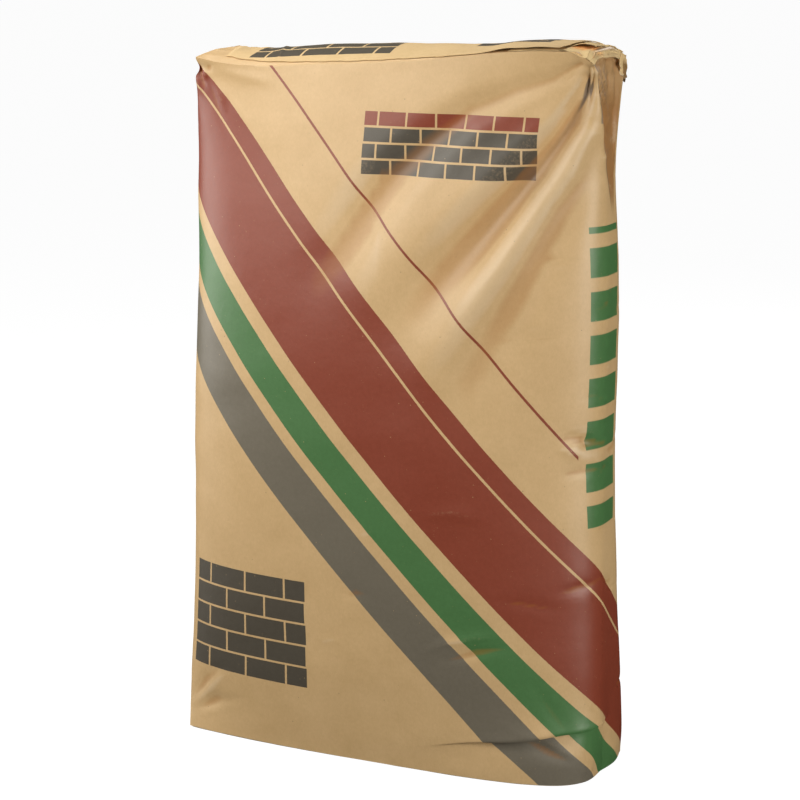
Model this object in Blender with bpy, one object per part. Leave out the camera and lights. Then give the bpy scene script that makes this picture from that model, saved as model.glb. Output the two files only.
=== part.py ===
"""A filled block-bottom cement sack of kraft paper, standing on its bottom end.

Metres, +Z up. The origin is under the middle of the sack, on the floor. The front face looks
towards -Y, and the filling valve is in the top corner on the +X side.
"""

import bpy
import bmesh
import numpy as np

# Driving dimensions of the paper and its glued sheets
SHEET_GAP = 0.0003
CHORD_ALLOWANCE = 0.0004
SHEET_SLACK = 0.0002
BOTTOM_PATCH_THICKNESS = 0.0010
TOP_PATCH_THICKNESS = 0.0008
SLEEVE_THICKNESS = 0.0008
BODY_BOTTOM = BOTTOM_PATCH_THICKNESS + SHEET_GAP

# The closed side swells further than the valve side, so this shift puts the origin under the middle
CENTRING_SHIFT = 0.006

# Height of the front crease of the top end, from the closed left corner to the valve corner
CREASE_HEIGHT = [
    (-0.215, 0.673),
    (-0.175, 0.666),
    (-0.060, 0.669),
    (0.050, 0.677),
    (0.135, 0.686),
    (0.215, 0.687),
]
HEIGHT = 0.670
END_TILT_POWER = 4

# Crown of the top end above its creases
CROWN = [(-0.215, 0.009), (-0.10, 0.011), (0.0, 0.010), (0.10, 0.004), (0.215, 0.001)]
CROWN_SQUARENESS = 24

# Arch of the top end's short edges, from the closed end to the valve end, which is flat
END_ARCH = [(-0.2, 0.004), (0.2, 0.0)]

# Half width of the sack on each side, at shares of the height
LEFT_REACH = [
    (0.0, 0.2145),
    (0.07, 0.2200),
    (0.15, 0.2225),
    (0.30, 0.2225),
    (0.49, 0.2215),
    (0.67, 0.2165),
    (0.85, 0.2145),
    (0.93, 0.2085),
    (1.0, 0.1995),
]
RIGHT_REACH = [
    (0.0, 0.2035),
    (0.07, 0.2070),
    (0.15, 0.2110),
    (0.22, 0.2100),
    (0.30, 0.2085),
    (0.44, 0.2050),
    (0.60, 0.2070),
    (0.70, 0.2070),
    (0.85, 0.2010),
    (0.94, 0.2000),
    (1.0, 0.1985),
]

# Half thickness at the middle of the front and of the back face
TOP_DEPTH = [(0.50, 0.0780), (0.70, 0.0730), (0.88, 0.0590), (1.0, 0.0475)]
FRONT_DEPTH = [(0.0, 0.0705), (0.10, 0.0740), (0.25, 0.0770)] + TOP_DEPTH
BACK_DEPTH = [(0.0, 0.0620), (0.10, 0.0690), (0.25, 0.0755)] + TOP_DEPTH

# Half width of the flat triangles on the narrow sides: as wide as the end there, and a narrow fold halfway up
TOP_TRIANGLE = [(0.60, 0.0050), (0.78, 0.0060), (0.86, 0.0130), (0.93, 0.0280), (1.0, 0.0460)]
BOTTOM_TRIANGLE = [(0.0, 0.0570), (0.075, 0.0410), (0.15, 0.0270), (0.30, 0.0120), (0.45, 0.0060)]
SQUARE_CORNER = BOTTOM_TRIANGLE + TOP_TRIANGLE
ROUND_CORNER = [(0.0, 0.0080), (0.15, 0.0100), (0.30, 0.0090), (0.45, 0.0060)] + TOP_TRIANGLE

# The swell of a face between its corners: a low arch at the ends and full sides between them
ARCH_POWER = [(0.0, 2.2), (0.12, 2.6), (0.30, 2.6), (0.45, 2.4), (0.85, 2.4), (1.0, 2.6)]
ROUND_ARCH_POWER = [(0.0, 3.2), (0.15, 2.9), (0.40, 2.4), (0.85, 2.4), (1.0, 2.6)]
ARCH_ROOT = [(0.0, 1.2), (0.12, 2.0), (0.30, 2.4), (0.82, 2.3), (1.0, 1.3)]
ROUND_ARCH_ROOT = [(0.0, 3.2), (0.15, 2.8), (0.40, 2.4), (0.82, 2.3), (1.0, 1.3)]

# Folds that the filling left in the front face: path as (x, height), depth outwards, half width
VALVE_VALLEY = [(0.196, 0.660), (0.176, 0.620), (0.140, 0.578), (0.096, 0.540), (0.054, 0.496)]
VALVE_RIDGE = [(0.190, 0.640), (0.172, 0.577), (0.132, 0.514), (0.106, 0.466), (0.060, 0.410)]
LOWER_VALLEY = [(0.173, 0.590), (0.145, 0.518), (0.121, 0.460), (0.083, 0.418)]
CREASE_VALLEY = [(0.175, 0.674), (0.130, 0.659), (0.085, 0.650), (0.020, 0.643)]
FOLDS = [
    (VALVE_VALLEY, -0.0060, 0.012),
    (VALVE_RIDGE, 0.0040, 0.012),
    (LOWER_VALLEY, -0.0045, 0.013),
    (CREASE_VALLEY, -0.0035, 0.012),
]

# The pinched fold above the bottom right corner, where the paper overhangs the foot of the sack
FOOT_FOLD = [(0.030, 0.020), (0.099, 0.037), (0.145, 0.045), (0.185, 0.054), (0.240, 0.058)]
FOOT_OVERHANG = 0.0050
FOOT_TUCK = 0.0045
FOOT_FOLD_REACH = 0.018

# The folds run out where the front face turns into the narrow side, this far in front of the middle
FOLDS_FADE = 0.030

# Outlines of the glued sheets
PATCH_INSET = 0.003
TOP_PATCH_LEFT = -0.186
TOP_PATCH_RIGHT = 0.186
TOP_PATCH_CORNER_CUT = 0.080
SLEEVE_START = 0.120
SLEEVE_FRONT = -0.036
SLEEVE_BACK = 0.040
SLEEVE_LIP = 0.004
SLEEVE_TONGUE = 0.032
SLEEVE_TONGUE_START = 0.012
SLEEVE_TONGUE_SHOULDER = 0.006
SLEEVE_STEP = 0.015
SLEEVE_EDGE_CLEARANCE = 0.0012
SLEEVE_BEND = 0.004
SLEEVE_STANDS_OFF = 0.0020
RAGGED_EDGE = 0.0016

# Fineness of the meshes
QUARTER_COLUMNS = 16
SIDE_COLUMNS = 8
ROWS = 36
TOP_PATCH_STEPS = (36, 8)
SLEEVE_FLAT_STEPS = 12
SLEEVE_HANGING_STEPS = 10
SLEEVE_ROWS = 14


def eased(stations, t):
    """Smooth curve through the stations, read at t."""
    places, values = np.array(stations, float).T
    slopes = np.gradient(values, places)
    t = np.clip(np.asarray(t, float), places[0], places[-1])
    i = np.clip(np.searchsorted(places, t, side="right") - 1, 0, len(places) - 2)
    span = places[i + 1] - places[i]
    k = (t - places[i]) / span
    start = values[i] * (1 + 2 * k) * (1 - k) ** 2 + slopes[i] * span * k * (1 - k) ** 2
    end = values[i + 1] * k**2 * (3 - 2 * k) + slopes[i + 1] * span * k**2 * (k - 1)
    return start + end


def ramp(value, low, high):
    """0 below low, 1 above high, smooth between them."""
    k = np.clip((value - low) / (high - low), 0, 1)
    return k * k * (3 - 2 * k)


def from_path(x, z, path):
    """Distance of each point from a path, the side of it that the point is on, and how far along it lies."""
    nearest = np.full(x.shape, np.inf)
    side = np.zeros(x.shape)
    along = np.zeros(x.shape)
    legs = list(zip(path, path[1:]))
    for number, ((x0, z0), (x1, z1)) in enumerate(legs):
        length = (x1 - x0) ** 2 + (z1 - z0) ** 2
        k = np.clip(((x - x0) * (x1 - x0) + (z - z0) * (z1 - z0)) / length, 0, 1)
        away = np.hypot(x - x0 - k * (x1 - x0), z - z0 - k * (z1 - z0))
        closer = away < nearest
        turn = (x1 - x0) * (z - z0) - (z1 - z0) * (x - x0)
        nearest = np.where(closer, away, nearest)
        side = np.where(closer, np.sign(turn), side)
        along = np.where(closer, (number + k) / len(legs), along)
    return nearest, side, along


def front_relief(x, z):
    """How far the folds lift the front face, at places given by x and height."""
    lift = np.zeros(x.shape)
    for path, depth, half_width in FOLDS:
        away, _, along = from_path(x, z, path)
        fade = np.clip(np.minimum(along, 1 - along) * 6, 0, 1)
        lift += depth * fade * np.exp(-((away / half_width) ** 2))
    away, side, along = from_path(x, z, FOOT_FOLD)
    grow = ramp(along, 0.05, 0.6)
    over = FOOT_OVERHANG * np.exp(-away / FOOT_FOLD_REACH)
    tuck = -FOOT_TUCK * np.exp(-((away / FOOT_FOLD_REACH) ** 2))
    lift += grow * np.where(side > 0, over, tuck)
    return lift


def quarter(reach, corner, depth, power, root):
    """Evenly spaced points from the middle of a face to its corner, with x and y both positive."""
    share = 1 - (1 - np.linspace(0, 1, 240)) ** 3
    x = reach * share
    y = corner + (depth - corner) * np.clip(1 - share**power, 0, 1) ** (1 / root)
    run = np.concatenate([[0], np.cumsum(np.hypot(np.diff(x), np.diff(y)))])
    even = np.linspace(0, run[-1], QUARTER_COLUMNS + 1)
    return np.column_stack([np.interp(even, run, x), np.interp(even, run, y)])


def ring(t):
    """Closed outline of the sack at a share of its height, counter-clockwise from the front left corner."""
    left = eased(LEFT_REACH, t)
    right = eased(RIGHT_REACH, t)
    front = eased(FRONT_DEPTH, t)
    back = eased(BACK_DEPTH, t)
    square = (eased(ARCH_POWER, t), eased(ARCH_ROOT, t))
    rounded = (eased(ROUND_ARCH_POWER, t), eased(ROUND_ARCH_ROOT, t))
    corner = eased(SQUARE_CORNER, t)
    front_left = quarter(left, corner, front, *square) * (-1, -1)
    front_right = quarter(right, eased(ROUND_CORNER, t), front, *rounded) * (1, -1)
    back_right = quarter(right, corner, back, *square)
    back_left = quarter(left, corner, back, *square) * (-1, 1)

    share = np.linspace(0, 1, SIDE_COLUMNS + 1)[1:-1, None]
    right_side = front_right[-1] * (1 - share) + back_right[-1] * share
    left_side = back_left[-1] * (1 - share) + front_left[-1] * share
    runs = [front_left[::-1], front_right[1:], right_side, back_right[::-1], back_left[1:], left_side]
    return np.vstack(runs)


def raised(x, y, t):
    """Height of a point of the wall: level at the bottom, and following the top crease at the top."""
    level = BODY_BOTTOM + (HEIGHT - BODY_BOTTOM) * t
    arch = eased(END_ARCH, x) * np.clip(1 - (y / eased(SQUARE_CORNER, 1.0)) ** 2, 0, 1)
    return level + (eased(CREASE_HEIGHT, x) + arch - HEIGHT) * t**END_TILT_POWER


def wall_rows():
    """Rings of the wall from the bottom crease to the top crease, with the folds pressed into the front."""
    rows = []
    for step in np.linspace(0, 1, ROWS + 1):
        t = step - 0.06 * np.sin(2 * np.pi * step)
        flat = ring(t)
        x, y = flat.T
        tangent = np.roll(flat, -1, axis=0) - np.roll(flat, 1, axis=0)
        outward = np.column_stack([tangent[:, 1], -tangent[:, 0]])
        outward /= np.linalg.norm(outward, axis=1)[:, None]
        z = raised(x, y, t)
        ends = ramp(t, 0, 0.03) * (1 - ramp(t, 0.975, 1.0))
        lift = front_relief(x, z) * ramp(-y, 0, FOLDS_FADE) * ends
        rows.append(np.column_stack([flat + outward * lift[:, None], z]))
    return rows


def across(outline, crown):
    """Grid that fills a closed outline from its front edge to its back edge, by blending its four sides."""
    wide = 2 * QUARTER_COLUMNS
    front = outline[: wide + 1]
    right = outline[wide : wide + SIDE_COLUMNS + 1]
    back = outline[wide + SIDE_COLUMNS : 2 * wide + SIDE_COLUMNS + 1][::-1]
    left = np.vstack([outline[2 * wide + SIDE_COLUMNS :], outline[:1]])[::-1]
    u = np.linspace(0, 1, wide + 1)[None, :, None]
    v = np.linspace(0, 1, SIDE_COLUMNS + 1)[:, None, None]
    grid = (1 - v) * front[None] + v * back[None] + (1 - u) * left[:, None] + u * right[:, None]
    grid -= (1 - u) * (1 - v) * front[0] + u * (1 - v) * front[-1] + (1 - u) * v * back[0] + u * v * back[-1]
    if crown:
        arch = (1 - (2 * v[..., 0] - 1) ** 2) * (1 - (2 * u[..., 0] - 1) ** CROWN_SQUARENESS)
        grid[..., 2] += eased(CROWN, grid[..., 0]) * arch
    return grid


def top_surface(x, y):
    """Height of the closed top end at a place on it."""
    middle = (RIGHT_REACH[-1][1] - LEFT_REACH[-1][1]) / 2
    length = (RIGHT_REACH[-1][1] + LEFT_REACH[-1][1]) / 2
    deep = np.clip(np.abs(y) / FRONT_DEPTH[-1][1], 0, 1)
    far = np.clip(np.abs(x - middle) / length, 0, 1)
    crown = eased(END_ARCH, x) + eased(CROWN, x) * (1 - far**CROWN_SQUARENESS)
    return eased(CREASE_HEIGHT, x) + crown * (1 - deep**2)


def material(name, colour, roughness):
    """Matt paper finish."""
    paper = bpy.data.materials.new(name)
    paper.use_nodes = True
    shader = paper.node_tree.nodes["Principled BSDF"]
    shader.inputs["Base Color"].default_value = (*colour, 1)
    shader.inputs["Roughness"].default_value = roughness
    shader.inputs["Metallic"].default_value = 0.0
    return paper


def add_object(name, mesh_source, paper):
    """Puts a finished bmesh into the scene under its own name, smooth apart from its sharp creases."""
    mesh = bpy.data.meshes.new(name)
    mesh_source.to_mesh(mesh)
    mesh_source.free()
    mesh.materials.append(paper)
    mesh.shade_smooth()
    mesh.set_sharp_from_angle(angle=np.radians(40))
    item = bpy.data.objects.new(name, mesh)
    item.location.x = CENTRING_SHIFT
    bpy.context.collection.objects.link(item)
    return item


def add_grid(mesh_source, points, known=None):
    """Adds the faces of a grid of points, using vertices already made where known gives them."""
    known = known or {}
    rows, columns = points.shape[:2]
    corner = {}
    for i in range(rows):
        for j in range(columns):
            corner[i, j] = known.get((i, j)) or mesh_source.verts.new(points[i, j])
    for i in range(rows - 1):
        for j in range(columns - 1):
            mesh_source.faces.new((corner[i, j], corner[i, j + 1], corner[i + 1, j + 1], corner[i + 1, j]))


def rim_of(loop):
    """Places of a closed loop's vertices on the border of the grid that across makes from it."""
    wide = 2 * QUARTER_COLUMNS
    places = [(0, j) for j in range(wide + 1)]
    places += [(i, wide) for i in range(1, SIDE_COLUMNS + 1)]
    places += [(SIDE_COLUMNS, j) for j in range(wide - 1, -1, -1)]
    places += [(i, 0) for i in range(SIDE_COLUMNS - 1, 0, -1)]
    return dict(zip(places, loop))


def add_sack_body(paper):
    """The filled tube: lofted wall, flat bottom end and crowned top end."""
    sack = bmesh.new()
    rows = wall_rows()
    loops = [[sack.verts.new(point) for point in row] for row in rows]
    for low, high in zip(loops, loops[1:]):
        for j in range(len(low)):
            after = (j + 1) % len(low)
            sack.faces.new((low[j], low[after], high[after], high[j]))
    add_grid(sack, across(rows[0], crown=False), rim_of(loops[0]))
    add_grid(sack, across(rows[-1], crown=True), rim_of(loops[-1]))
    bmesh.ops.recalc_face_normals(sack, faces=sack.faces)
    return add_object("sack_body", sack, paper)


def thicken(item, thickness):
    """Gives a sheet its thickness, away from the sack."""
    solid = item.modifiers.new("paper thickness", "SOLIDIFY")
    solid.thickness = thickness
    solid.offset = 1.0
    solid.use_even_offset = True


def add_bottom_patch(paper):
    """Flat sheet glued under the bottom end. The sack stands on it."""
    outline = ring(0)
    length = np.linalg.norm(outline, axis=1)[:, None]
    inset = outline * (1 - PATCH_INSET / length)
    sheet = bmesh.new()
    border = [sheet.verts.new((x, y, 0)) for x, y in inset]
    bottom = sheet.faces.new(border)
    grown = bmesh.ops.extrude_face_region(sheet, geom=[bottom])
    lifted = [part for part in grown["geom"] if isinstance(part, bmesh.types.BMVert)]
    bmesh.ops.translate(sheet, verts=lifted, vec=(0, 0, BOTTOM_PATCH_THICKNESS))
    bmesh.ops.recalc_face_normals(sheet, faces=sheet.faces)
    return add_object("bottom_cover_patch", sheet, paper)


def add_top_patch(paper):
    """Sheet glued over the top end, its front left corner cut, lifted where it covers the valve sleeve."""
    columns, rows = TOP_PATCH_STEPS
    half = eased(SQUARE_CORNER, 1.0) - PATCH_INSET
    y = np.linspace(-half, half, rows + 1)[:, None]
    start = TOP_PATCH_LEFT + TOP_PATCH_CORNER_CUT * np.clip(-y / half, 0, 1)
    x = start + (TOP_PATCH_RIGHT - start) * np.linspace(0, 1, columns + 1)[None, :]
    y = y + 0 * x
    step = ramp(x, SLEEVE_START - SLEEVE_STEP, SLEEVE_START - PATCH_INSET)
    over_sleeve = (SLEEVE_THICKNESS + SHEET_GAP + SHEET_SLACK) * step
    z = top_surface(x, y) + SHEET_GAP + CHORD_ALLOWANCE + over_sleeve
    sheet = bmesh.new()
    add_grid(sheet, np.stack([x, y, z], axis=-1))
    item = add_object("top_cover_patch", sheet, paper)
    thicken(item, TOP_PATCH_THICKNESS)
    return item


def add_valve_sleeve(paper):
    """Paper sleeve of the valve: flat under the top patch, bent over the end, with a tongue at the back."""
    edge = RIGHT_REACH[-1][1] + SLEEVE_EDGE_CLEARANCE
    y = np.linspace(SLEEVE_FRONT, SLEEVE_BACK, SLEEVE_ROWS + 1)[:, None]
    tongue = ramp(y, SLEEVE_TONGUE_START, SLEEVE_TONGUE_START + SLEEVE_TONGUE_SHOULDER)
    hang = SLEEVE_LIP + (SLEEVE_TONGUE - SLEEVE_LIP) * tongue
    hang = hang + RAGGED_EDGE * (np.sin(y * 900) + 0.6 * np.sin(y * 2100 + 1))
    flat = np.linspace(SLEEVE_START, edge, SLEEVE_FLAT_STEPS + 1)[None, :] + 0 * y
    past = hang * np.linspace(0, 1, SLEEVE_HANGING_STEPS + 1)[None, 1:]
    bend = 1 - np.exp(-past / SLEEVE_BEND)
    x = np.hstack([flat, edge + SLEEVE_STANDS_OFF * bend])
    drop = np.hstack([0 * flat, past * bend])
    z = top_surface(np.minimum(x, edge), y) + SHEET_GAP + CHORD_ALLOWANCE - drop
    sheet = bmesh.new()
    add_grid(sheet, np.stack([x, y + 0 * x, z], axis=-1))
    item = add_object("valve_sleeve", sheet, paper)
    thicken(item, SLEEVE_THICKNESS)
    return item


for item in list(bpy.data.objects):
    bpy.data.objects.remove(item, do_unlink=True)

kraft = material("printed_kraft_paper", (0.60, 0.42, 0.22), 0.62)
patch_kraft = material("patch_kraft_paper", (0.62, 0.45, 0.25), 0.66)
bottom_kraft = material("bottom_kraft_paper", (0.55, 0.39, 0.21), 0.68)
sleeve_kraft = material("sleeve_kraft_paper", (0.50, 0.36, 0.20), 0.70)

add_sack_body(kraft)
add_bottom_patch(bottom_kraft)
add_top_patch(patch_kraft)
add_valve_sleeve(sleeve_kraft)
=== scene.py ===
import bpy
import numpy as np
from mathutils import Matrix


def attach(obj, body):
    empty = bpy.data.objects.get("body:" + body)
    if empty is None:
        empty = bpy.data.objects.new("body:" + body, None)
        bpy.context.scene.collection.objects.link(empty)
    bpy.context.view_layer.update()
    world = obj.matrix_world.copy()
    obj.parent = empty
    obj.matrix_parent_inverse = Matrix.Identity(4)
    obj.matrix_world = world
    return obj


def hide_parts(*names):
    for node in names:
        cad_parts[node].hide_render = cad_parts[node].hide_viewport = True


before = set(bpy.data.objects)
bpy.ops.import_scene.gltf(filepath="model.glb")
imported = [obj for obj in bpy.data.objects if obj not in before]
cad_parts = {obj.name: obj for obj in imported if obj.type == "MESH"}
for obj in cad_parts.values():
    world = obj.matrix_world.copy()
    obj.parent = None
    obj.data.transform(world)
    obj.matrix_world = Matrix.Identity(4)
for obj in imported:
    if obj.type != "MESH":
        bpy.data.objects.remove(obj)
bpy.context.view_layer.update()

# The sack
# One tube of brown kraft paper, printed flat and folded square at both ends. The cement fills it so
# that both faces bulge between creased corners, and long soft folds run down from the valve corner.
HEIGHT = 0.670
BODY_BOTTOM = 0.0013
CENTRING_SHIFT = 0.006
CREASE_HEIGHT = [
    (-0.215, 0.673),
    (-0.175, 0.666),
    (-0.060, 0.669),
    (0.050, 0.677),
    (0.135, 0.686),
    (0.215, 0.687),
]
END_TILT_POWER = 4
CROWN = [
    (-0.215, 0.0040),
    (-0.165, 0.0072),
    (-0.100, 0.0105),
    (0.000, 0.0095),
    (0.100, 0.0035),
    (0.215, 0.0015),
]
CROWN_SQUARENESS = 24
END_ARCH = [(-0.2, 0.004), (0.2, 0.0)]
LEFT_REACH = [
    (0.0, 0.2145),
    (0.07, 0.2200),
    (0.15, 0.2225),
    (0.30, 0.2225),
    (0.49, 0.2215),
    (0.67, 0.2165),
    (0.85, 0.2145),
    (0.93, 0.2085),
    (1.0, 0.1995),
]
RIGHT_REACH = [
    (0.0, 0.2035),
    (0.07, 0.2070),
    (0.15, 0.2110),
    (0.22, 0.2100),
    (0.30, 0.2085),
    (0.44, 0.2050),
    (0.60, 0.2070),
    (0.70, 0.2070),
    (0.85, 0.2010),
    (0.94, 0.2000),
    (1.0, 0.1985),
]
TOP_DEPTH = [(0.50, 0.0780), (0.70, 0.0730), (0.88, 0.0590), (1.0, 0.0475)]
FRONT_DEPTH = [(0.0, 0.0705), (0.10, 0.0740), (0.25, 0.0770)] + TOP_DEPTH
BACK_DEPTH = [(0.0, 0.0620), (0.10, 0.0690), (0.25, 0.0755)] + TOP_DEPTH
TOP_TRIANGLE = [(0.60, 0.0050), (0.78, 0.0060), (0.86, 0.0130), (0.93, 0.0280), (1.0, 0.0460)]
VALVE_TRIANGLE = [
    (0.60, 0.0050),
    (0.78, 0.0045),
    (0.82, 0.0055),
    (0.86, 0.0110),
    (0.905, 0.0200),
    (0.94, 0.0270),
    (0.97, 0.0330),
    (1.0, 0.0460),
]
BOTTOM_TRIANGLE = [(0.0, 0.0570), (0.075, 0.0410), (0.15, 0.0270), (0.30, 0.0120), (0.45, 0.0060)]
SQUARE_CORNER = BOTTOM_TRIANGLE + TOP_TRIANGLE
ROUND_CORNER = [(0.0, 0.0080), (0.15, 0.0100), (0.30, 0.0090), (0.45, 0.0060)] + VALVE_TRIANGLE
ARCH_POWER = [(0.0, 2.2), (0.12, 2.6), (0.30, 2.6), (0.45, 2.4), (0.85, 2.4), (1.0, 2.6)]
ROUND_ARCH_POWER = [(0.0, 3.2), (0.15, 2.9), (0.40, 2.4), (0.85, 2.4), (1.0, 2.6)]
ARCH_ROOT = [(0.0, 1.2), (0.12, 2.0), (0.30, 2.4), (0.82, 2.3), (1.0, 1.3)]
ROUND_ARCH_ROOT = [(0.0, 3.2), (0.15, 2.8), (0.40, 2.4), (0.82, 2.3), (1.0, 1.3)]

# The grid of the tube: the columns of half a face and of a narrow side, the rows of the foot, of its
# pinched fold and of the wall above it, and how closely they stand at the corners and ends
GIRTH = 1.0
OUTLINE_SAMPLES = 320
FACE_COLUMNS = 40
FACE_SQUEEZE = 0.50
VALVE_COLUMNS = 84
VALVE_SQUEEZE = 0.74
SIDE_COLUMNS = 64
RINGS = 700
FOOT_ROWS = 20
FOOT_SQUEEZE = 0.3
FOLD_ROWS = 14
WALL_ROWS = 186
WALL_SQUEEZE = 0.42
TOP_SQUEEZE = 0.12

# Long soft folds that fan out from the valve corner over the front face. Each is a path as (x, height),
# with its depth outwards and its half width at the start, middle and end of the path
VALVE_FOLDS = [
    (
        [(0.192, 0.662), (0.188, 0.644), (0.179, 0.625), (0.165, 0.604), (0.149, 0.580), (0.126, 0.551)]
        + [(0.102, 0.523), (0.079, 0.496), (0.056, 0.470), (0.033, 0.443), (0.010, 0.414), (-0.012, 0.384)],
        (-0.0040, -0.0142, 0.0),
        (0.0060, 0.0205, 0.0310),
    ),
    (
        [(0.1980, 0.668), (0.1970, 0.655), (0.1940, 0.640), (0.190, 0.616), (0.175, 0.586), (0.155, 0.554)]
        + [(0.138, 0.522), (0.121, 0.490), (0.104, 0.460), (0.086, 0.432), (0.066, 0.402), (0.044, 0.370)]
        + [(0.024, 0.338)],
        (0.0034, 0.0088, 0.0),
        (0.0040, 0.0170, 0.0280),
    ),
    (
        [(0.187, 0.662), (0.175, 0.643), (0.160, 0.623), (0.138, 0.599), (0.114, 0.574), (0.091, 0.552)]
        + [(0.068, 0.529), (0.047, 0.507), (0.018, 0.474)],
        (0.0010, 0.0044, 0.0),
        (0.0050, 0.0170, 0.0240),
    ),
    (
        [(0.196, 0.624), (0.195, 0.607), (0.190, 0.571), (0.172, 0.541), (0.157, 0.510), (0.141, 0.479)]
        + [(0.126, 0.449), (0.110, 0.419), (0.096, 0.388), (0.086, 0.352), (0.080, 0.310), (0.076, 0.266)],
        (-0.0010, -0.0070, 0.0),
        (0.0050, 0.0215, 0.0340),
    ),
    (
        [(0.187, 0.677), (0.160, 0.661), (0.127, 0.650), (0.085, 0.631), (0.046, 0.600), (0.019, 0.574)]
        + [(-0.004, 0.543), (-0.027, 0.511), (-0.050, 0.480), (-0.072, 0.446), (-0.092, 0.410)],
        (-0.0022, -0.0075, 0.0),
        (0.0035, 0.0190, 0.0260),
    ),
]

# Shorter folds of the front face and its corners: a path, the depth outwards and the half width, which
# are greatest half way, and 1 for a sharp crest
FRONT_FOLDS = [
    ([(0.1945, 0.682), (0.194, 0.668), (0.192, 0.657), (0.189, 0.644), (0.180, 0.625)], -0.0046, 0.0021, 1),
    (
        [(0.198, 0.681), (0.1972, 0.668), (0.1958, 0.657), (0.1935, 0.643), (0.189, 0.629)],
        -0.0044,
        0.0019,
        1,
    ),
    ([(0.1945, 0.670), (0.1915, 0.652), (0.183, 0.630), (0.169, 0.607), (0.143, 0.575)], -0.0056, 0.0105, 0),
    ([(0.1965, 0.682), (0.1957, 0.669), (0.1940, 0.658), (0.1915, 0.650)], 0.0028, 0.0017, 1),
    ([(0.068, 0.430), (0.063, 0.360), (0.064, 0.290), (0.068, 0.220)], 0.0032, 0.0400, 0),
    ([(0.1860, 0.676), (0.1810, 0.667), (0.1730, 0.661), (0.1600, 0.656)], -0.0012, 0.0026, 1),
    ([(0.1890, 0.664), (0.1840, 0.652), (0.1750, 0.640), (0.1640, 0.630)], -0.0012, 0.0034, 1),
    ([(0.110, 0.425), (0.155, 0.429), (0.190, 0.434)], -0.0006, 0.0045, 0),
    ([(0.140, 0.498), (0.172, 0.503), (0.196, 0.501)], -0.0006, 0.0050, 0),
    ([(0.172, 0.339), (0.190, 0.335), (0.203, 0.328), (0.214, 0.320)], -0.0050, 0.0042, 1),
    ([(0.168, 0.329), (0.188, 0.324), (0.208, 0.314)], 0.0022, 0.0040, 1),
    ([(0.170, 0.300), (0.192, 0.305), (0.212, 0.304)], -0.0014, 0.0032, 1),
    ([(0.168, 0.190), (0.188, 0.193), (0.202, 0.197), (0.218, 0.204)], -0.0022, 0.0040, 1),
    ([(0.110, 0.182), (0.150, 0.179), (0.196, 0.173)], -0.0010, 0.0042, 1),
    ([(0.040, 0.118), (0.072, 0.133), (0.104, 0.143), (0.136, 0.148)], 0.0017, 0.0036, 1),
    ([(0.062, 0.112), (0.104, 0.128), (0.146, 0.139)], -0.0013, 0.0050, 0),
    ([(0.030, 0.255), (0.080, 0.262), (0.128, 0.256)], 0.0010, 0.0060, 0),
    ([(-0.018, 0.226), (-0.006, 0.233), (0.006, 0.241)], 0.0010, 0.0030, 1),
    ([(-0.040, 0.185), (-0.026, 0.196), (-0.014, 0.210)], 0.0008, 0.0030, 1),
    ([(-0.036, 0.166), (-0.020, 0.172), (0.002, 0.170)], -0.0008, 0.0036, 1),
    ([(-0.060, 0.112), (-0.050, 0.120), (-0.036, 0.123)], 0.0008, 0.0030, 1),
    ([(-0.204, 0.676), (-0.200, 0.664), (-0.199, 0.652), (-0.192, 0.636)], -0.0052, 0.0040, 1),
    ([(-0.190, 0.674), (-0.186, 0.664), (-0.190, 0.652)], -0.0034, 0.0032, 1),
    ([(-0.208, 0.660), (-0.203, 0.650), (-0.200, 0.630)], 0.0020, 0.0034, 1),
    ([(-0.196, 0.664), (-0.192, 0.656), (-0.196, 0.646)], 0.0020, 0.0026, 1),
]

# Where the folds of the front run out on the side, away from the valve and beside it, and the shares of
# the height between which the paper is free to fold
FOLDS_FADE = (-0.004, 0.030)
VALVE_FOLDS_FADE = (0.006, 0.024)
BESIDE_VALVE = (0.580, 0.620)
FOLDS_START = 0.03
FOLDS_STOP = 0.982

# Creases of the side triangle below the valve, which was crushed against the filling spout. Their paths
# are (y, height)
FACET_FOLDS = [
    ([(-0.0330, 0.668), (-0.0322, 0.645), (-0.0310, 0.618)], 0.0026, 0.0022, 1),
    ([(-0.0270, 0.666), (-0.0268, 0.645), (-0.0262, 0.622)], -0.0024, 0.0026, 1),
    ([(-0.0300, 0.674), (-0.0180, 0.657), (-0.0040, 0.642), (0.0040, 0.622)], 0.0024, 0.0030, 1),
    ([(-0.0160, 0.672), (-0.0220, 0.658), (-0.0280, 0.648)], 0.0018, 0.0024, 1),
    ([(-0.0120, 0.674), (-0.0040, 0.657), (0.0100, 0.646)], 0.0026, 0.0030, 1),
    ([(0.0040, 0.674), (0.0110, 0.656), (0.0040, 0.640)], -0.0026, 0.0032, 1),
    ([(0.0200, 0.670), (0.0160, 0.650), (0.0210, 0.630)], 0.0024, 0.0036, 1),
    ([(-0.0160, 0.642), (-0.0100, 0.616), (-0.0040, 0.590)], -0.0020, 0.0040, 1),
    ([(-0.0240, 0.630), (0.0000, 0.623), (0.0200, 0.627)], 0.0018, 0.0030, 1),
    ([(-0.0280, 0.652), (-0.0140, 0.646), (0.0000, 0.652)], -0.0016, 0.0024, 1),
    ([(0.0280, 0.660), (0.0260, 0.640), (0.0180, 0.612)], 0.0020, 0.0030, 1),
    ([(-0.0120, 0.612), (0.0020, 0.606), (0.0120, 0.610)], 0.0014, 0.0030, 1),
]

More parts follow.
